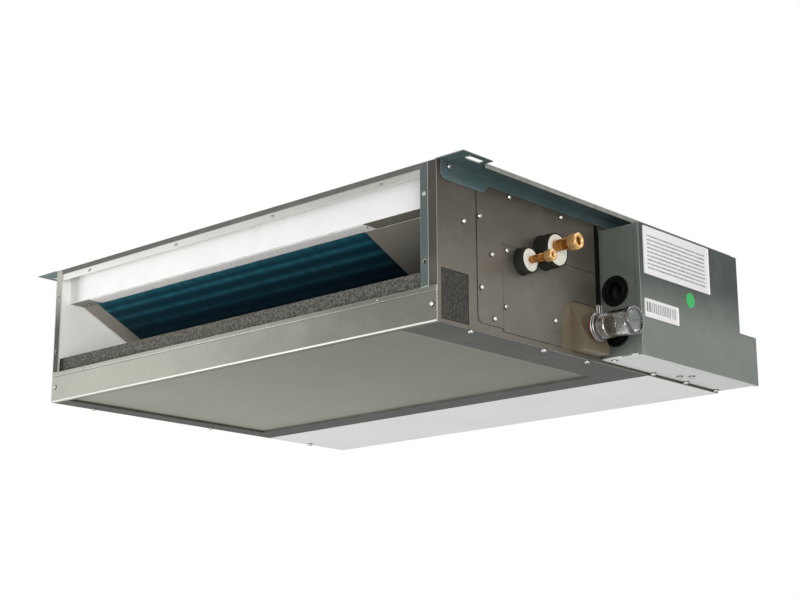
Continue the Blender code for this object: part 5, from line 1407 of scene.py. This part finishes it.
    def add_gap_shadow(self) -> None:
        """Lay a dark strip in the gap between the side plates and the electrical box, as a painted shadow in
        the gap.
        """
        plate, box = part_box("access_plate"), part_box("ebox_body")
        low = (plate[0].x - 0.1 * MM, plate[1].y + self.gap_shadow_clearance, box[0].z + 10 * MM)
        high = (plate[1].x + 0.6 * MM, box[0].y - self.gap_shadow_clearance, box[1].z + 9 * MM)
        # Painted shadow: a black strip fills the gap.
        rounded_box("box_gap_shadow_strip", low, high, 0.25 * MM, Paint.GROMMET_AND_SHADOW)

    def add_slot_rims(self) -> None:
        """Bend the raised rim round each hanging slot."""
        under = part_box("hanger_rail_right")[1].z - self.rail_sheet
        half, reach = self.slot_width / 2 + self.rim, (self.slot_length - self.slot_width) / 2
        turns = [2 * math.pi * step / self.rim_steps for step in range(self.rim_steps + 1)]
        for name, side in (("hanger_slot_rims_right", 1), ("hanger_slot_rims_left", -1)):
            rims = []
            for x, y in self.slots:
                centre = self.cabinet.spot(side * x, y, 0.0)
                points = []
                for turn in turns:
                    along = math.copysign(reach, math.sin(turn + 1e-6)) + half * math.sin(turn)
                    points.append(Vector((centre.x + half * math.cos(turn), centre.y + along, under)))
                rims.append(add_tube(f"rim_{x}", [*points, points[0]], self.rim, 8))
            dress(join(name, rims), Paint.BLUE_EDGE, angle=60.0)

    def add_screws(self) -> None:
        """Set the screws and rivets of the side, the underside, the front and the hanger rails."""
        right, down, front = Vector((1, 0, 0)), Vector((0, 0, -1)), Vector((0, -1, 0))
        side = [(172, 229), (306, 226), (97, 181), (61, 165), (126, 126), (163, 140), (100, 69)]
        side += [(158, 49), (130, 25), (284, 49)]
        under = [(465, 81), (465, 261), (463, 379), (489, 420), (477, 551), (495, 606), (510, 620)]
        under += [(477, 653), (476, 753), (-461, 659), (-461, 380), (-461, 90)]
        other = [(-470, y, z) for y in (60, 260, 520, 720) for z in (30, 200)]
        for name, spots, facing, scale in (
            ("side_screws", [(470, y, z) for y, z in side], right, 1.15),
            ("underside_screws", [(x, y, 0) for x, y in under], down, 1.45),
            ("front_screws", [(459, 0, 27), (-459, 0, 27)], front, 1.1),
            ("front_lip_rivets", [(x, 0, 51) for x in (-380, -137, 106, 350)], front, 0.5),
            ("hanger_screw", [(474, 26, 243)], right, 1.15),
            ("coil_corner_screws", [(-434, 50, 190), (288, 41, 190)], down, 0.9),
            ("left_side_screws", other, -right, 1.0),
        ):
            seats = [seat(self.cabinet.spot(*spot), facing) for spot in spots]
            self.screws.place(name, seats, facing, scale)


@dataclass
class DischargeOpening:
    """Foam, sealing tape and liner round the opening that the air leaves by."""

    step: float = 8.0 * MM
    waves: float = 0.5 * MM
    long_waves: float = 55.0
    short_waves: float = 210.0
    strip: float = 1.8 * MM
    strip_left: float = 60.0 * MM
    strip_right: float = 24.0 * MM
    strip_gap: float = 0.4 * MM

    def build(self) -> None:
        """Replace the foam pieces and add the sealing strip between baffle and coil."""
        for node, finish, rounding, waves in (
            ("drain_pan_foam", Paint.GREY_FOAM, 1.4 * MM, self.waves),
            ("drain_pan_end_foam", Paint.PATCH_FOAM, 0.9 * MM, self.waves),
            ("left_wall_liner", Paint.LINER, 0.8 * MM, self.waves * 0.4),
        ):
            foam = formed_copy(node, rounding, finish, segments=3)
            self.roughen(foam, waves)
            dress(foam, finish, replaces=[node])
        self.add_strip()

    def roughen(self, foam: Piece, depth: float) -> None:
        """Divide a strip along its length and push its skin in and out a little.

        Args:
            foam: The strip, inside whose own box the skin stays.
            depth: How far the skin moves at most.
        """
        low = Vector(min(v.co[i] for v in foam.data.vertices) for i in range(3))
        high = Vector(max(v.co[i] for v in foam.data.vertices) for i in range(3))
        longest = max(range(3), key=lambda i: high[i] - low[i])
        reach, middle = high[longest] - low[longest], (low + high) / 2
        pick(foam, "EDGE", lambda edge: abs((edge.verts[0].co - edge.verts[1].co)[longest]) > 0.5 * reach)
        bpy.ops.mesh.subdivide(number_cuts=int(reach / self.step))
        end_edit(foam)
        for vertex in foam.data.vertices:
            push = noise.noise_vector(vertex.co * self.long_waves) * depth
            push += noise.noise_vector(vertex.co * self.short_waves) * depth * 0.4
            for i in {0, 1, 2} - {longest}:
                inward = 1.0 if vertex.co[i] < middle[i] else -1.0
                vertex.co[i] += inward * abs(push[i])

    def add_strip(self) -> None:
        """Lay the pale foam strip that seals the baffle's shelf against the coil's top edge."""
        shelf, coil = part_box("upper_baffle"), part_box("coil_block")
        top = shelf[0].z - 0.1 * MM
        low = (shelf[0].x + self.strip_left, shelf[0].y + self.strip_gap, top - self.strip)
        high = (coil[1].x + self.strip_right, shelf[1].y - self.strip_gap, top)
        strip = add_box("coil_sealing_strip", low, high)
        round_edges(strip, 0.5 * MM)
        self.roughen(strip, self.waves * 1.8)
        dress(strip, Paint.TAPE)


@dataclass
class Coil:
    """Rippled fins on two rows of copper tubes, with return bends at the left end."""

    pitch: float = 2.0 * MM
    fin: float = 0.16 * MM
    ripple: float = 0.4 * MM
    ripples: int = 6
    length: float = 320.0 * MM
    thickness: float = 57.0 * MM
    tube_pitch: float = 25.4 * MM
    tube_radius: float = 4.0 * MM
    tube_rows: int = 2
    band_pitch: float = 27.2 * MM
    band_start: float = -1.7 * MM

    def __post_init__(self) -> None:
        """Read the coil's place and slope from its node and its end plates."""
        low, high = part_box("coil_block")
        self.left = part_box("coil_end_plate_left")[1].x
        self.right = high.x
        tall = high.z - low.z
        across = math.hypot(self.length, self.thickness)
        self.slope = math.asin(tall / across) - math.atan2(self.thickness, self.length)
        face_top = low.z + self.length * math.sin(self.slope)
        self.place = Matrix.Translation((0.0, low.y, face_top)) @ Matrix.Rotation(-self.slope, 4, "X")

    def build(self) -> None:
        """Make the fins and the tubes that stand for the coil's one solid."""
        # The fin coat paints sheen bands at the tube rows and shade down the slope.
        blue = FinCoat(
            "fin_coat", "coil_fins", srgb(32, 76, 94), 0.38, 0.25, 0.1, sheen_band=srgb(66, 144, 160),
            lower=srgb(24, 40, 54), top=tuple(self.place @ Vector((0.0, self.band_start, 0.0))),
            slope=self.slope, pitch=self.band_pitch,
        )
        dress(self.add_fins(), blue, replaces=["coil_block"])
        dress(self.add_tubes(), Paint.COPPER, angle=60.0)

    def add_fins(self) -> Piece:
        """Model one rippled fin and repeat it across the coil.

        Returns:
            All fins as one piece.
        """
        deselect()
        bpy.ops.mesh.primitive_grid_add(x_subdivisions=1, y_subdivisions=self.ripples, size=1.0)
        fin = settle("coil_fins")
        step = 1.0 / self.ripples
        pick(fin, "VERT", lambda vertex: round((vertex.co.y + 0.5) / step) % 2 == 1)
        bpy.ops.transform.translate(value=(0.0, 0.0, self.ripple))
        end_edit(fin)
        sizes = Matrix.Diagonal((self.length, self.thickness, 1.0, 1.0))
        turn = Matrix(((0, 0, 1, 0), (1, 0, 0, 0), (0, 1, 0, 0), (0, 0, 0, 1)))
        corner = Matrix.Translation((self.left + self.fin, self.length / 2, self.thickness / 2))
        fin.data.transform(corner @ turn @ sizes)
        modify(fin, "SOLIDIFY", thickness=self.fin, offset=0.0)
        count = int((self.right - self.left - self.ripple) / self.pitch)
        offset = {"use_relative_offset": False, "use_constant_offset": True}
        modify(fin, "ARRAY", count=count, constant_offset_displace=(self.pitch, 0.0, 0.0), **offset)
        fin.data.transform(self.place)
        return fin

    def add_tubes(self) -> Piece:
        """Bend each pair of tubes round at the left end, and join them all.

        Returns:
            All tubes as one piece.
        """
        pairs = int(self.length / (2 * self.tube_pitch))
        start = (self.length - (2 * pairs - 1) * self.tube_pitch) / 2
        radius = self.tube_pitch / 2
        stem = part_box("coil_block")[0].x + radius + self.tube_radius
        turns = [math.pi * i / 10 for i in range(11)]
        tubes = []
        for row in range(self.tube_rows):
            up = self.thickness * (row + 0.5) / self.tube_rows
            for pair in range(pairs):
                down = start + 2 * pair * self.tube_pitch
                arc = [(stem - radius * math.sin(a), down + radius - radius * math.cos(a)) for a in turns]
                run = [(self.right, down), *arc, (self.right, down + self.tube_pitch)]
                points = [self.place @ Vector((x, y, up)) for x, y in run]
                tubes.append(add_tube(f"coil_tube_{row}_{pair}", points, self.tube_radius))
        return join("coil_tubes", tubes)


@dataclass
class PipeLine:
    """One refrigerant line: rubber sleeve, foam face, union with its thread, and flare nut."""

    label: str
    nut_body: Body
    flats: float
    pipe_radius: float
    wall: float = 3.0 * MM
    thread_pitch: float = 1.6 * MM

    def __post_init__(self) -> None:
        """Read the line's pieces from their nodes."""
        parts = ("sleeve", "foam_core", "union", "flare_nut")
        self.sleeve, self.core, self.union, self.nut = (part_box(f"{self.label}_{part}") for part in parts)
        self.centre = middle_of(self.nut)
        self.sleeve_centre = middle_of(self.sleeve)

    def build(self) -> None:
        """Make the sleeve, its foam face, the union and the nut."""
        self.add_sleeve()
        self.add_foam_face()
        self.add_union()
        self.add_nut()
        form(self.label + "_pipe", 0.2 * MM, Paint.COPPER, segments=1)

    def add_sleeve(self) -> None:
        """Turn the black insulation, a little fuller at the plate and soft at its end."""
        reach, radius = girth(self.sleeve)
        inner = radius - self.wall
        stations = (0.2, 0.35, 0.5, 0.65, 0.8)
        swell = [(reach * s, radius * (0.955 + 0.045 * math.cos(s * 5.0) ** 2)) for s in stations]
        profile = [(0, inner), (0, radius), *swell, (reach - 1.5 * MM, radius * 0.97)]
        profile += [(reach - 0.4 * MM, radius - 1.4 * MM), (reach, inner + MM), (reach - 0.6 * MM, inner)]
        sleeve = turned(self.label + "_insulation", profile, (self.sleeve[0].x, *self.sleeve_centre.yz))
        dress(sleeve, Paint.RUBBER, replaces=[self.label + "_sleeve"], angle=50.0)

    def add_foam_face(self) -> None:
        """Turn the white foam that fills the sleeve and shows as a ring round the pipe."""
        low, high = self.core
        reach, radius = girth(self.core)
        bore = self.pipe_radius + 0.3 * MM
        offset = Vector((0.0, self.centre.y - self.sleeve_centre.y, self.centre.z - self.sleeve_centre.z))
        profile = [(0, bore), (0, radius), (reach - 1.2 * MM, radius), (reach - 0.3 * MM, radius - 1.0 * MM)]
        profile += [(reach, radius - 3.0 * MM), (reach, radius * 0.7)]
        profile += [(reach - 0.8 * MM, bore + 1.5 * MM), (reach - 2.0 * MM, bore)]
        foam = turned(self.label + "_foam_ring", profile, (low.x, *self.sleeve_centre.yz))
        edge = bore + 2.2 * MM
        for vertex in foam.data.vertices:
            away = Vector((0.0, vertex.co.y - self.sleeve_centre.y, vertex.co.z - self.sleeve_centre.z))
            share = max(0.0, 1.0 - max(0.0, away.length - edge) / (radius - edge))
            vertex.co += offset * min(1.0, share)
            if vertex.co.x > high.x - 4 * MM:
                vertex.co.x -= abs(noise.noise(vertex.co * 160.0)) * 1.2 * MM
        dress(foam, Paint.FOAM_FACE, replaces=[self.label + "_foam_core"])

    def add_union(self) -> None:
        """Turn the union: a collar at the pipe, then the thread that the nut runs on."""
        reach, radius = girth(self.union)
        bore = self.pipe_radius * 0.8
        start = reach * 0.42
        profile = [(0, bore), (0, radius * 0.93), (1.0 * MM, radius * 0.97)]
        profile += [(start * 0.75, radius * 0.97), (start, radius * 0.86)]
        crest = ((0.35 * MM, radius * 0.88), (0.8 * MM, radius), (1.25 * MM, radius * 0.88))
        for turn in range(int((reach - start) / self.thread_pitch)):
            along = start + turn * self.thread_pitch
            profile += [(along + further, out) for further, out in crest]
        profile += [(reach, radius * 0.84), (reach, bore)]
        union = turned(self.label + "_threaded_union", profile, (self.union[0].x, *self.centre.yz), 40)
        dress(union, Paint.UNION, replaces=[self.label + "_union"], angle=30.0)

    def add_nut(self) -> None:
        """Cut the flare nut from a hexagon: chamfered corners, round skirt and open end."""
        x0, x1 = self.nut[0].x, self.nut[1].x
        y, z = self.centre.yz
        ends = (x0, y, z), (x1, y, z)
        corner = self.flats / math.sqrt(3)
        nut = add_rod(self.label + "_hex_nut", *ends, corner, 6)
        bevel = corner - self.flats / 2
        hull = [(0, 0.5 * MM), (0, corner - 0.8 * MM), (0.8 * MM, corner), (x1 - x0 - bevel, corner)]
        hull += [(x1 - x0, self.flats * 0.47), (x1 - x0, 0.5 * MM)]
        body = turned("nut_hull", hull, (x0, y, z), 60)
        core = add_rod("nut_middle", *ends, 0.6 * MM, 60)
        modify(body, "BOOLEAN", object=core, operation="UNION")
        modify(nut, "BOOLEAN", object=body, operation="INTERSECT")
        wide, narrow = girth(self.union)[1] + 0.3 * MM, self.pipe_radius + 0.4 * MM
        thread = add_rod("nut_thread", (x0 - MM, y, z), (x1 - 5 * MM, y, z), wide, 40)
        mouth = add_rod("nut_mouth", (x1 - 6 * MM, y, z), (x1 + MM, y, z), narrow, 40)
        taper = [(0, 0.1 * MM), (0, self.pipe_radius + 0.2 * MM)]
        taper += [(3.5 * MM, self.pipe_radius + 3.0 * MM), (3.5 * MM, 0.1 * MM)]
        cone = turned("nut_cone", taper, (x1 - 2.4 * MM, y, z), 40)
        for tool in (thread, mouth, cone):
            modify(nut, "BOOLEAN", object=tool, operation="DIFFERENCE")
        for tool in (body, core, thread, mouth, cone):
            bpy.data.objects.remove(tool)
        nut.data.materials.clear()
        round_edges(nut, 0.25 * MM, 2, 25.0)
        dress(nut, Paint.BRASS, body=self.nut_body, replaces=[self.label + "_flare_nut"], angle=25.0)


@dataclass
class DrainOutlet:
    """Drain cup, clear socket and the wire clamp with its two ears."""

    wire: float = 0.8 * MM
    socket_wall: float = 2.2 * MM
    neck: float = 16.3 * MM
    wire_inset: float = 1.4 * MM

    def build(self) -> None:
        """Make the cup, the socket and the clamp."""
        form("drain_outlet_cup", 1.1 * MM, Paint.CUP, segments=3, angle=40.0)
        self.add_socket()
        self.add_clamp()

    def add_socket(self) -> None:
        """Turn the clear socket with its collar and the stop ring inside."""
        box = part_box("drain_socket")
        start, centre = box[0].x, middle_of(box)
        reach, collar = girth(box)
        outer = collar - 1.2 * MM
        bore = outer - self.socket_wall
        step = reach - 12.0 * MM
        profile = [(0, self.neck), (0, outer - 0.5 * MM), (0.5 * MM, outer), (step - 1.2 * MM, outer)]
        profile += [(step, collar), (reach - 0.8 * MM, collar), (reach, collar - 0.8 * MM)]
        profile += [(reach, bore + 0.6 * MM), (reach - 0.8 * MM, bore), (26 * MM, bore)]
        profile += [(24.5 * MM, bore - 1.6 * MM), (23 * MM, bore), (21.8 * MM, self.neck)]
        socket = turned("drain_clear_socket", profile, (start, *centre.yz), 64)
        dress(socket, Paint.CLEAR, replaces=["drain_socket"], angle=50.0)
        seal = ((0, 16.1), (0, 17.9), (1.1, 18.4), (2.2, 17.9), (2.2, 16.1))
        ring = [(along * MM, radius * MM + 4.0 * MM) for along, radius in seal]
        dress(turned("drain_seal_ring", ring, (start - 2.6 * MM, *centre.yz)), Paint.SEAL, angle=40.0)

    def add_clamp(self) -> None:
        """Wind the clamp's wire round the socket and bend its two ears up."""
        low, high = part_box("drain_clamp")
        middle = middle_of(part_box("drain_socket"))
        radius = middle.y - low.y - self.wire
        ear, gap = high.z - self.wire, 3.6 * MM
        lift = math.asin(gap / radius)
        ends = (low.x + self.wire_inset, high.x - self.wire_inset)
        wires = []
        for side, x in zip((-1, 1), ends):
            sweep = [math.pi / 2 + side * (lift + (2 * math.pi - 2 * lift) * i / 48) for i in range(49)]
            ring = [(radius * math.cos(angle), radius * math.sin(angle)) for angle in sweep]
            loop = [Vector((x, middle.y + across, middle.z + up)) for across, up in ring]
            start, end = loop[0], loop[-1]
            rise = [Vector((x, start.y, ear)), Vector((x, start.y, start.z + 2 * MM))]
            fall = [Vector((x, end.y, end.z + 2 * MM)), Vector((x, end.y, ear))]
            wires.append(add_tube(f"clamp_wire_{side}", [*rise, *loop, *fall], self.wire, 10))
        for side in (-1, 1):
            y = middle.y + side * radius * math.sin(lift)
            bar = [Vector((x, y, ear)) for x in ends]
            wires.append(add_tube(f"clamp_bar_{side}", bar, self.wire, 10))
        dress(join("drain_wire_clamp", wires), Paint.STEEL, replaces=["drain_clamp"], angle=60.0)


@dataclass
class ElectricalBox:
    """Cable grommets, stickers and the control gear in the side box."""

    cabinet: Cabinet
    label_thickness: float = 0.15 * MM
    label_corner: float = 2.0 * MM
    lip: float = 0.4 * MM
    slot_span: tuple[float, float] = (0.5, 0.74)
    flange: float = 2.5 * MM
    cable_bore: float = 14.0 * MM
    sticker: float = 13.0 * MM
    board: float = 10.0 * MM

    def build(self) -> None:
        """Make the grommets, the stickers and the gear."""
        for node in ("cable_grommet_upper", "cable_grommet_lower"):
            self.add_grommet(node)
        self.add_labels()
        self.add_lip()
        form("control_board", 0.3 * MM, Paint.BOARD)
        for node in ("terminal_block", "run_capacitor"):
            form(node, 0.3 * MM, Paint.TERMINAL)
        self.add_board_parts()

    def add_grommet(self, node: str) -> None:
        """Turn a rubber grommet: rounded flange, stepped membrane and throat.

        Args:
            node: The grommet's node.
        """
        low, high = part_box(node)
        centre = middle_of((low, high))
        radius, length = (high.x - low.x) / 2, high.y - low.y
        flange, bore = self.flange, self.cable_bore
        profile = [(0.6 * MM, bore), (0.0, bore + 1.0 * MM), (0.6 * MM, bore + 2.6 * MM)]
        profile += [(1.3 * MM, bore + 3.6 * MM), (1.3 * MM, radius - 5.0 * MM), (0.2 * MM, radius - 3.4 * MM)]
        profile += [(0.0, radius - 1.4 * MM), (0.7 * MM, radius - 0.3 * MM), (1.6 * MM, radius)]
        profile += [(flange, radius - 0.3 * MM), (flange, radius - 2.9 * MM)]
        profile += [(length - MM, radius - 2.9 * MM), (length, radius - 4.4 * MM), (length, bore)]
        grommet = turned(node + "_turned", profile, (centre.x, low.y, centre.z), 56, Axis.Y)
        dress(grommet, Paint.GROMMET_AND_SHADOW, replaces=[node], angle=40.0)

    def add_lip(self) -> None:
        """Fold the pale lip along the bottom of the tray's front, with a black strip as the painted shade in
        its drain slot.
        """
        low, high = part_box("ebox_body")
        face = low.y - self.lip
        corner = (high.x - 8 * MM, low.y + 0.1 * MM, low.z + 2.6 * MM)
        rounded_box("box_front_lip", (low.x + MM, face, low.z + 0.2 * MM), corner, 0.15 * MM, Paint.BOX_UNDER)
        start, end = (low.x + (high.x - low.x) * share for share in self.slot_span)
        corners = (start, face - 0.15 * MM, low.z + 0.8 * MM), (end, low.y - 0.1 * MM, low.z + 2.1 * MM)
        # A black strip stands for the painted shade inside the slot.
        rounded_box("box_lip_slot_shade", *corners, 0.1 * MM, Paint.GROMMET_AND_SHADOW, segments=1)

    def add_labels(self) -> None:
        """Lay the blank and ruled labels and the round green sticker on the cover."""
        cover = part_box("ebox_cover")[1].x
        for name, start, end, bars in (
            ("cover_label_large", (0, 420, 140), (0, 620, 222), False),
            ("cover_label_small", (0, 418, 67), (0, 517, 98), True),
        ):
            low, high = self.cabinet.spot(*start), self.cabinet.spot(*end)
            low.x, high.x = cover, cover + self.label_thickness
            label = add_box(name, low, high)
            pick(label, "EDGE", lambda edge: abs(edge.verts[0].co.x - edge.verts[1].co.x) > 1e-5)
            bpy.ops.mesh.bevel(offset=self.label_corner, segments=4)
            end_edit(label)
            corners = {"low": tuple(low), "high": tuple(high)}
            paper = ("terminal_white", srgb(248, 248, 246), 0.5, 0.0, 0.02)
            dress(label, PrintedLabel(name + "_paper", *paper, bars=bars, **corners))
        yz = self.cabinet.spot(0, 558, 119).yz
        ends = (cover, *yz), (cover + self.label_thickness, *yz)
        dress(add_rod("cover_round_sticker", *ends, self.sticker, 48), Paint.GREEN_DOT)

    def add_board_parts(self) -> None:
        """Set capacitors, a transformer and plug headers on the control board."""
        low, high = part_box("control_board")
        face = low.x + self.board
        parts = []
        for index in range(4):
            y, z = low.y + (18.0 + 13.0 * index) * MM, low.z + 14 * MM
            parts.append(add_rod(f"board_can_{index}", (face, y, z), (face + 12 * MM, y, z), 4.2 * MM, 20))
        for index in range(3):
            y = low.y + (20.0 + 26.0 * index) * MM
            corner = (face + 9 * MM, y + 16 * MM, high.z - 7 * MM)
            parts.append(add_box(f"board_plug_{index}", (face, y, high.z - 14 * MM), corner))
        corner = (face + 14 * MM, high.y - 12 * MM, low.z + 34 * MM)
        parts.append(add_box("board_transformer", (face, high.y - 40 * MM, low.z + 8 * MM), corner))
        dress(join("board_parts", parts), Paint.CHIP)


@dataclass
class Blowers:
    """Scroll housings, wheels with curved blades, shaft and motor."""

    blades: int = 36
    blade: float = 1.0 * MM
    inner: float = 58.0 * MM
    outer: float = 70.0 * MM
    ring: float = 4.0 * MM
    hub: float = 16.0 * MM
    hub_half: float = 18.0 * MM
    bore: float = 6.3 * MM
    disc: float = 1.5 * MM
    boss: float = 10.0 * MM
    rib_count: int = 28

    def __post_init__(self) -> None:
        """Read the fan axis from the shaft."""
        self.axis = middle_of(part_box("fan_shaft"))

    def turn(self, index: int, count: int) -> Matrix:
        """A turn round the fan axis by a share of the full circle."""
        turn = Matrix.Rotation(2 * math.pi * index / count, 4, "X")
        return Matrix.Translation(self.axis) @ turn @ Matrix.Translation(-self.axis)

    def build(self) -> None:
        """Make the housings, the wheels, the shaft, the motor and its strap."""
        for side in ("left", "right"):
            for part in ("upper", "lower"):
                form(f"fan_housing_{side}_{part}", 0.6 * MM, Paint.HOUSING)
            self.add_wheel("impeller_" + side)
        form("fan_shaft", 0.5 * MM, Paint.STEEL, body=Body.ROTOR)
        form("motor_strap", 0.3 * MM, Paint.STEEL)
        self.add_motor()

    def add_blade(self, middle: float, width: float) -> Piece:
        """Curve one blade between the rims of a wheel.

        Args:
            middle: The middle of the wheel along X.
            width: The wheel's width.

        Returns:
            The first blade.
        """
        deselect()
        bpy.ops.mesh.primitive_grid_add(x_subdivisions=1, y_subdivisions=6, size=1.0)
        first = settle("blade")
        for vertex in first.data.vertices:
            share = vertex.co.y + 0.5
            radius = self.inner + 0.8 * MM + share * (self.outer - self.inner - 1.6 * MM)
            lean = 0.30 * share**2 - 0.10 * share
            x = middle + vertex.co.x * (width - self.ring)
            vertex.co = (x, self.axis.y + radius * math.cos(lean), self.axis.z + radius * math.sin(lean))
        return modify(first, "SOLIDIFY", thickness=self.blade, offset=0.0)

    def add_wheel(self, node: str) -> None:
        """Copy one curved blade round the axis between two rims and a middle disc.

        Args:
            node: The wheel's node.
        """
        low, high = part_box(node)
        middle, yz = (low.x + high.x) / 2, self.axis.yz
        first = self.add_blade(middle, high.x - low.x)
        pieces = [copy_of(first, f"blade_{i}", self.turn(i, self.blades)) for i in range(self.blades)]
        bpy.data.objects.remove(first)
        inner, outer, corner = self.inner, self.outer, 0.6 * MM
        rim = [(0, inner), (0, outer - corner), (corner, outer), (self.ring - corner, outer)]
        rim += [(self.ring, outer - corner), (self.ring, inner)]
        pieces += [turned("rim", rim, (start, *yz), 72) for start in (low.x, high.x - self.ring)]
        half, hub, bore, disc = self.hub_half, self.hub, self.bore, self.disc
        side = [(-half, bore), (-half, hub - MM), (-half + MM, hub), (-disc - 3 * MM, hub)]
        side += [(-disc, hub + 4 * MM), (-disc, outer - 0.4 * MM)]
        profile = side + [(-along, radius) for along, radius in reversed(side)]
        pieces.append(turned("disc", profile, (middle, *yz), 72))
        dress(join(node + "_wheel", pieces), Paint.IMPELLER, body=Body.ROTOR, replaces=[node], angle=30.0)

    def add_motor(self) -> None:
        """Turn the motor's shells and lay cooling ribs along its body."""
        low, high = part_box("fan_motor")
        radius, length, boss = (high.z - low.z) / 2, high.x - low.x, self.boss
        half = [(0, 6.4 * MM), (0, 14 * MM), (boss * 0.6, 16 * MM), (boss, 20 * MM)]
        half += [(boss + 2 * MM, radius * 0.62), (boss + 7 * MM, radius * 0.9)]
        half += [(boss + 12 * MM, radius - 0.6 * MM), (boss + 13 * MM, radius)]
        half += [(boss + 17 * MM, radius), (boss + 18 * MM, radius - 1.8 * MM)]
        other = [(length - along, out) for along, out in reversed(half)]
        pieces = [turned("fan_motor_shell", half + other, (low.x, *self.axis.yz), 64)]
        ends = (low.x + boss + 17 * MM, low.x + length - boss - 17 * MM)
        crown = self.axis.z + radius
        for index in range(self.rib_count):
            start = (ends[0], self.axis.y - 0.8 * MM, crown - 3.0 * MM)
            rib = add_box(f"rib_{index}", start, (ends[1], self.axis.y + 0.8 * MM, crown - 0.2 * MM))
            rib.data.transform(self.turn(index, self.rib_count))
            pieces.append(rib)
        dress(join("fan_motor_shell", pieces), Paint.MOTOR, replaces=["fan_motor"], angle=30.0)


@dataclass
class ReturnFilter:
    """Air filter: moulded frame with ribs on both faces of its net."""

    columns: int = 12
    rows: int = 3
    bar: float = 2.4 * MM
    proud: float = 2.6 * MM

    def build(self) -> None:
        """Form the frame and lay the ribs."""
        form("air_filter_frame", 0.8 * MM, Paint.FILTER, body=Body.FILTER, segments=3)
        low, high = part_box("air_filter_net")
        half = self.bar / 2
        bars = []
        for front, back in ((low.y - self.proud, low.y), (high.y, high.y + self.proud)):
            for index in range(1, self.columns):
                x = low.x + (high.x - low.x) * index / self.columns
                bars.append(add_box("bar", (x - half, front, low.z), (x + half, back, high.z)))
            for index in range(1, self.rows):
                z = low.z + (high.z - low.z) * index / self.rows
                bars.append(add_box("bar", (low.x, front, z - half), (high.x, back, z + half)))
        ribs = join("air_filter_ribs", bars)
        round_edges(ribs, 0.5 * MM, 1)
        dress(ribs, Paint.FILTER, body=Body.FILTER)


def dress_rest() -> None:
    """Give the nodes that still show as they are their finishes."""
    paints = {
        "drain_pan": Paint.PAN,
        "gas_header": Paint.COPPER,
        "liquid_manifold": Paint.COPPER,
        "air_filter_net": Paint.NET,
    }
    for name, finish in paints.items():
        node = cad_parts[name]
        node.data.materials.clear()
        node.data.materials.append(finish.material())


def main() -> None:
    """Build the air conditioner's looks, piece by piece."""
    logging.basicConfig(level=logging.INFO, format="%(name)s: %(message)s")
    bpy.context.scene.view_settings.view_transform = "Standard"
    cabinet = Cabinet.read()
    Studio().build()
    screws = Fasteners()
    Casing(screws, cabinet).build()
    DischargeOpening().build()
    Coil().build()
    PipeLine("gas", Body.GAS_NUT, 24.0 * MM, 6.35 * MM).build()
    PipeLine("liquid", Body.LIQUID_NUT, 17.0 * MM, 3.18 * MM).build()
    DrainOutlet().build()
    ElectricalBox(cabinet).build()
    Blowers().build()
    ReturnFilter().build()
    screws.clear()
    dress_rest()


if __name__ == "__main__":
    main()
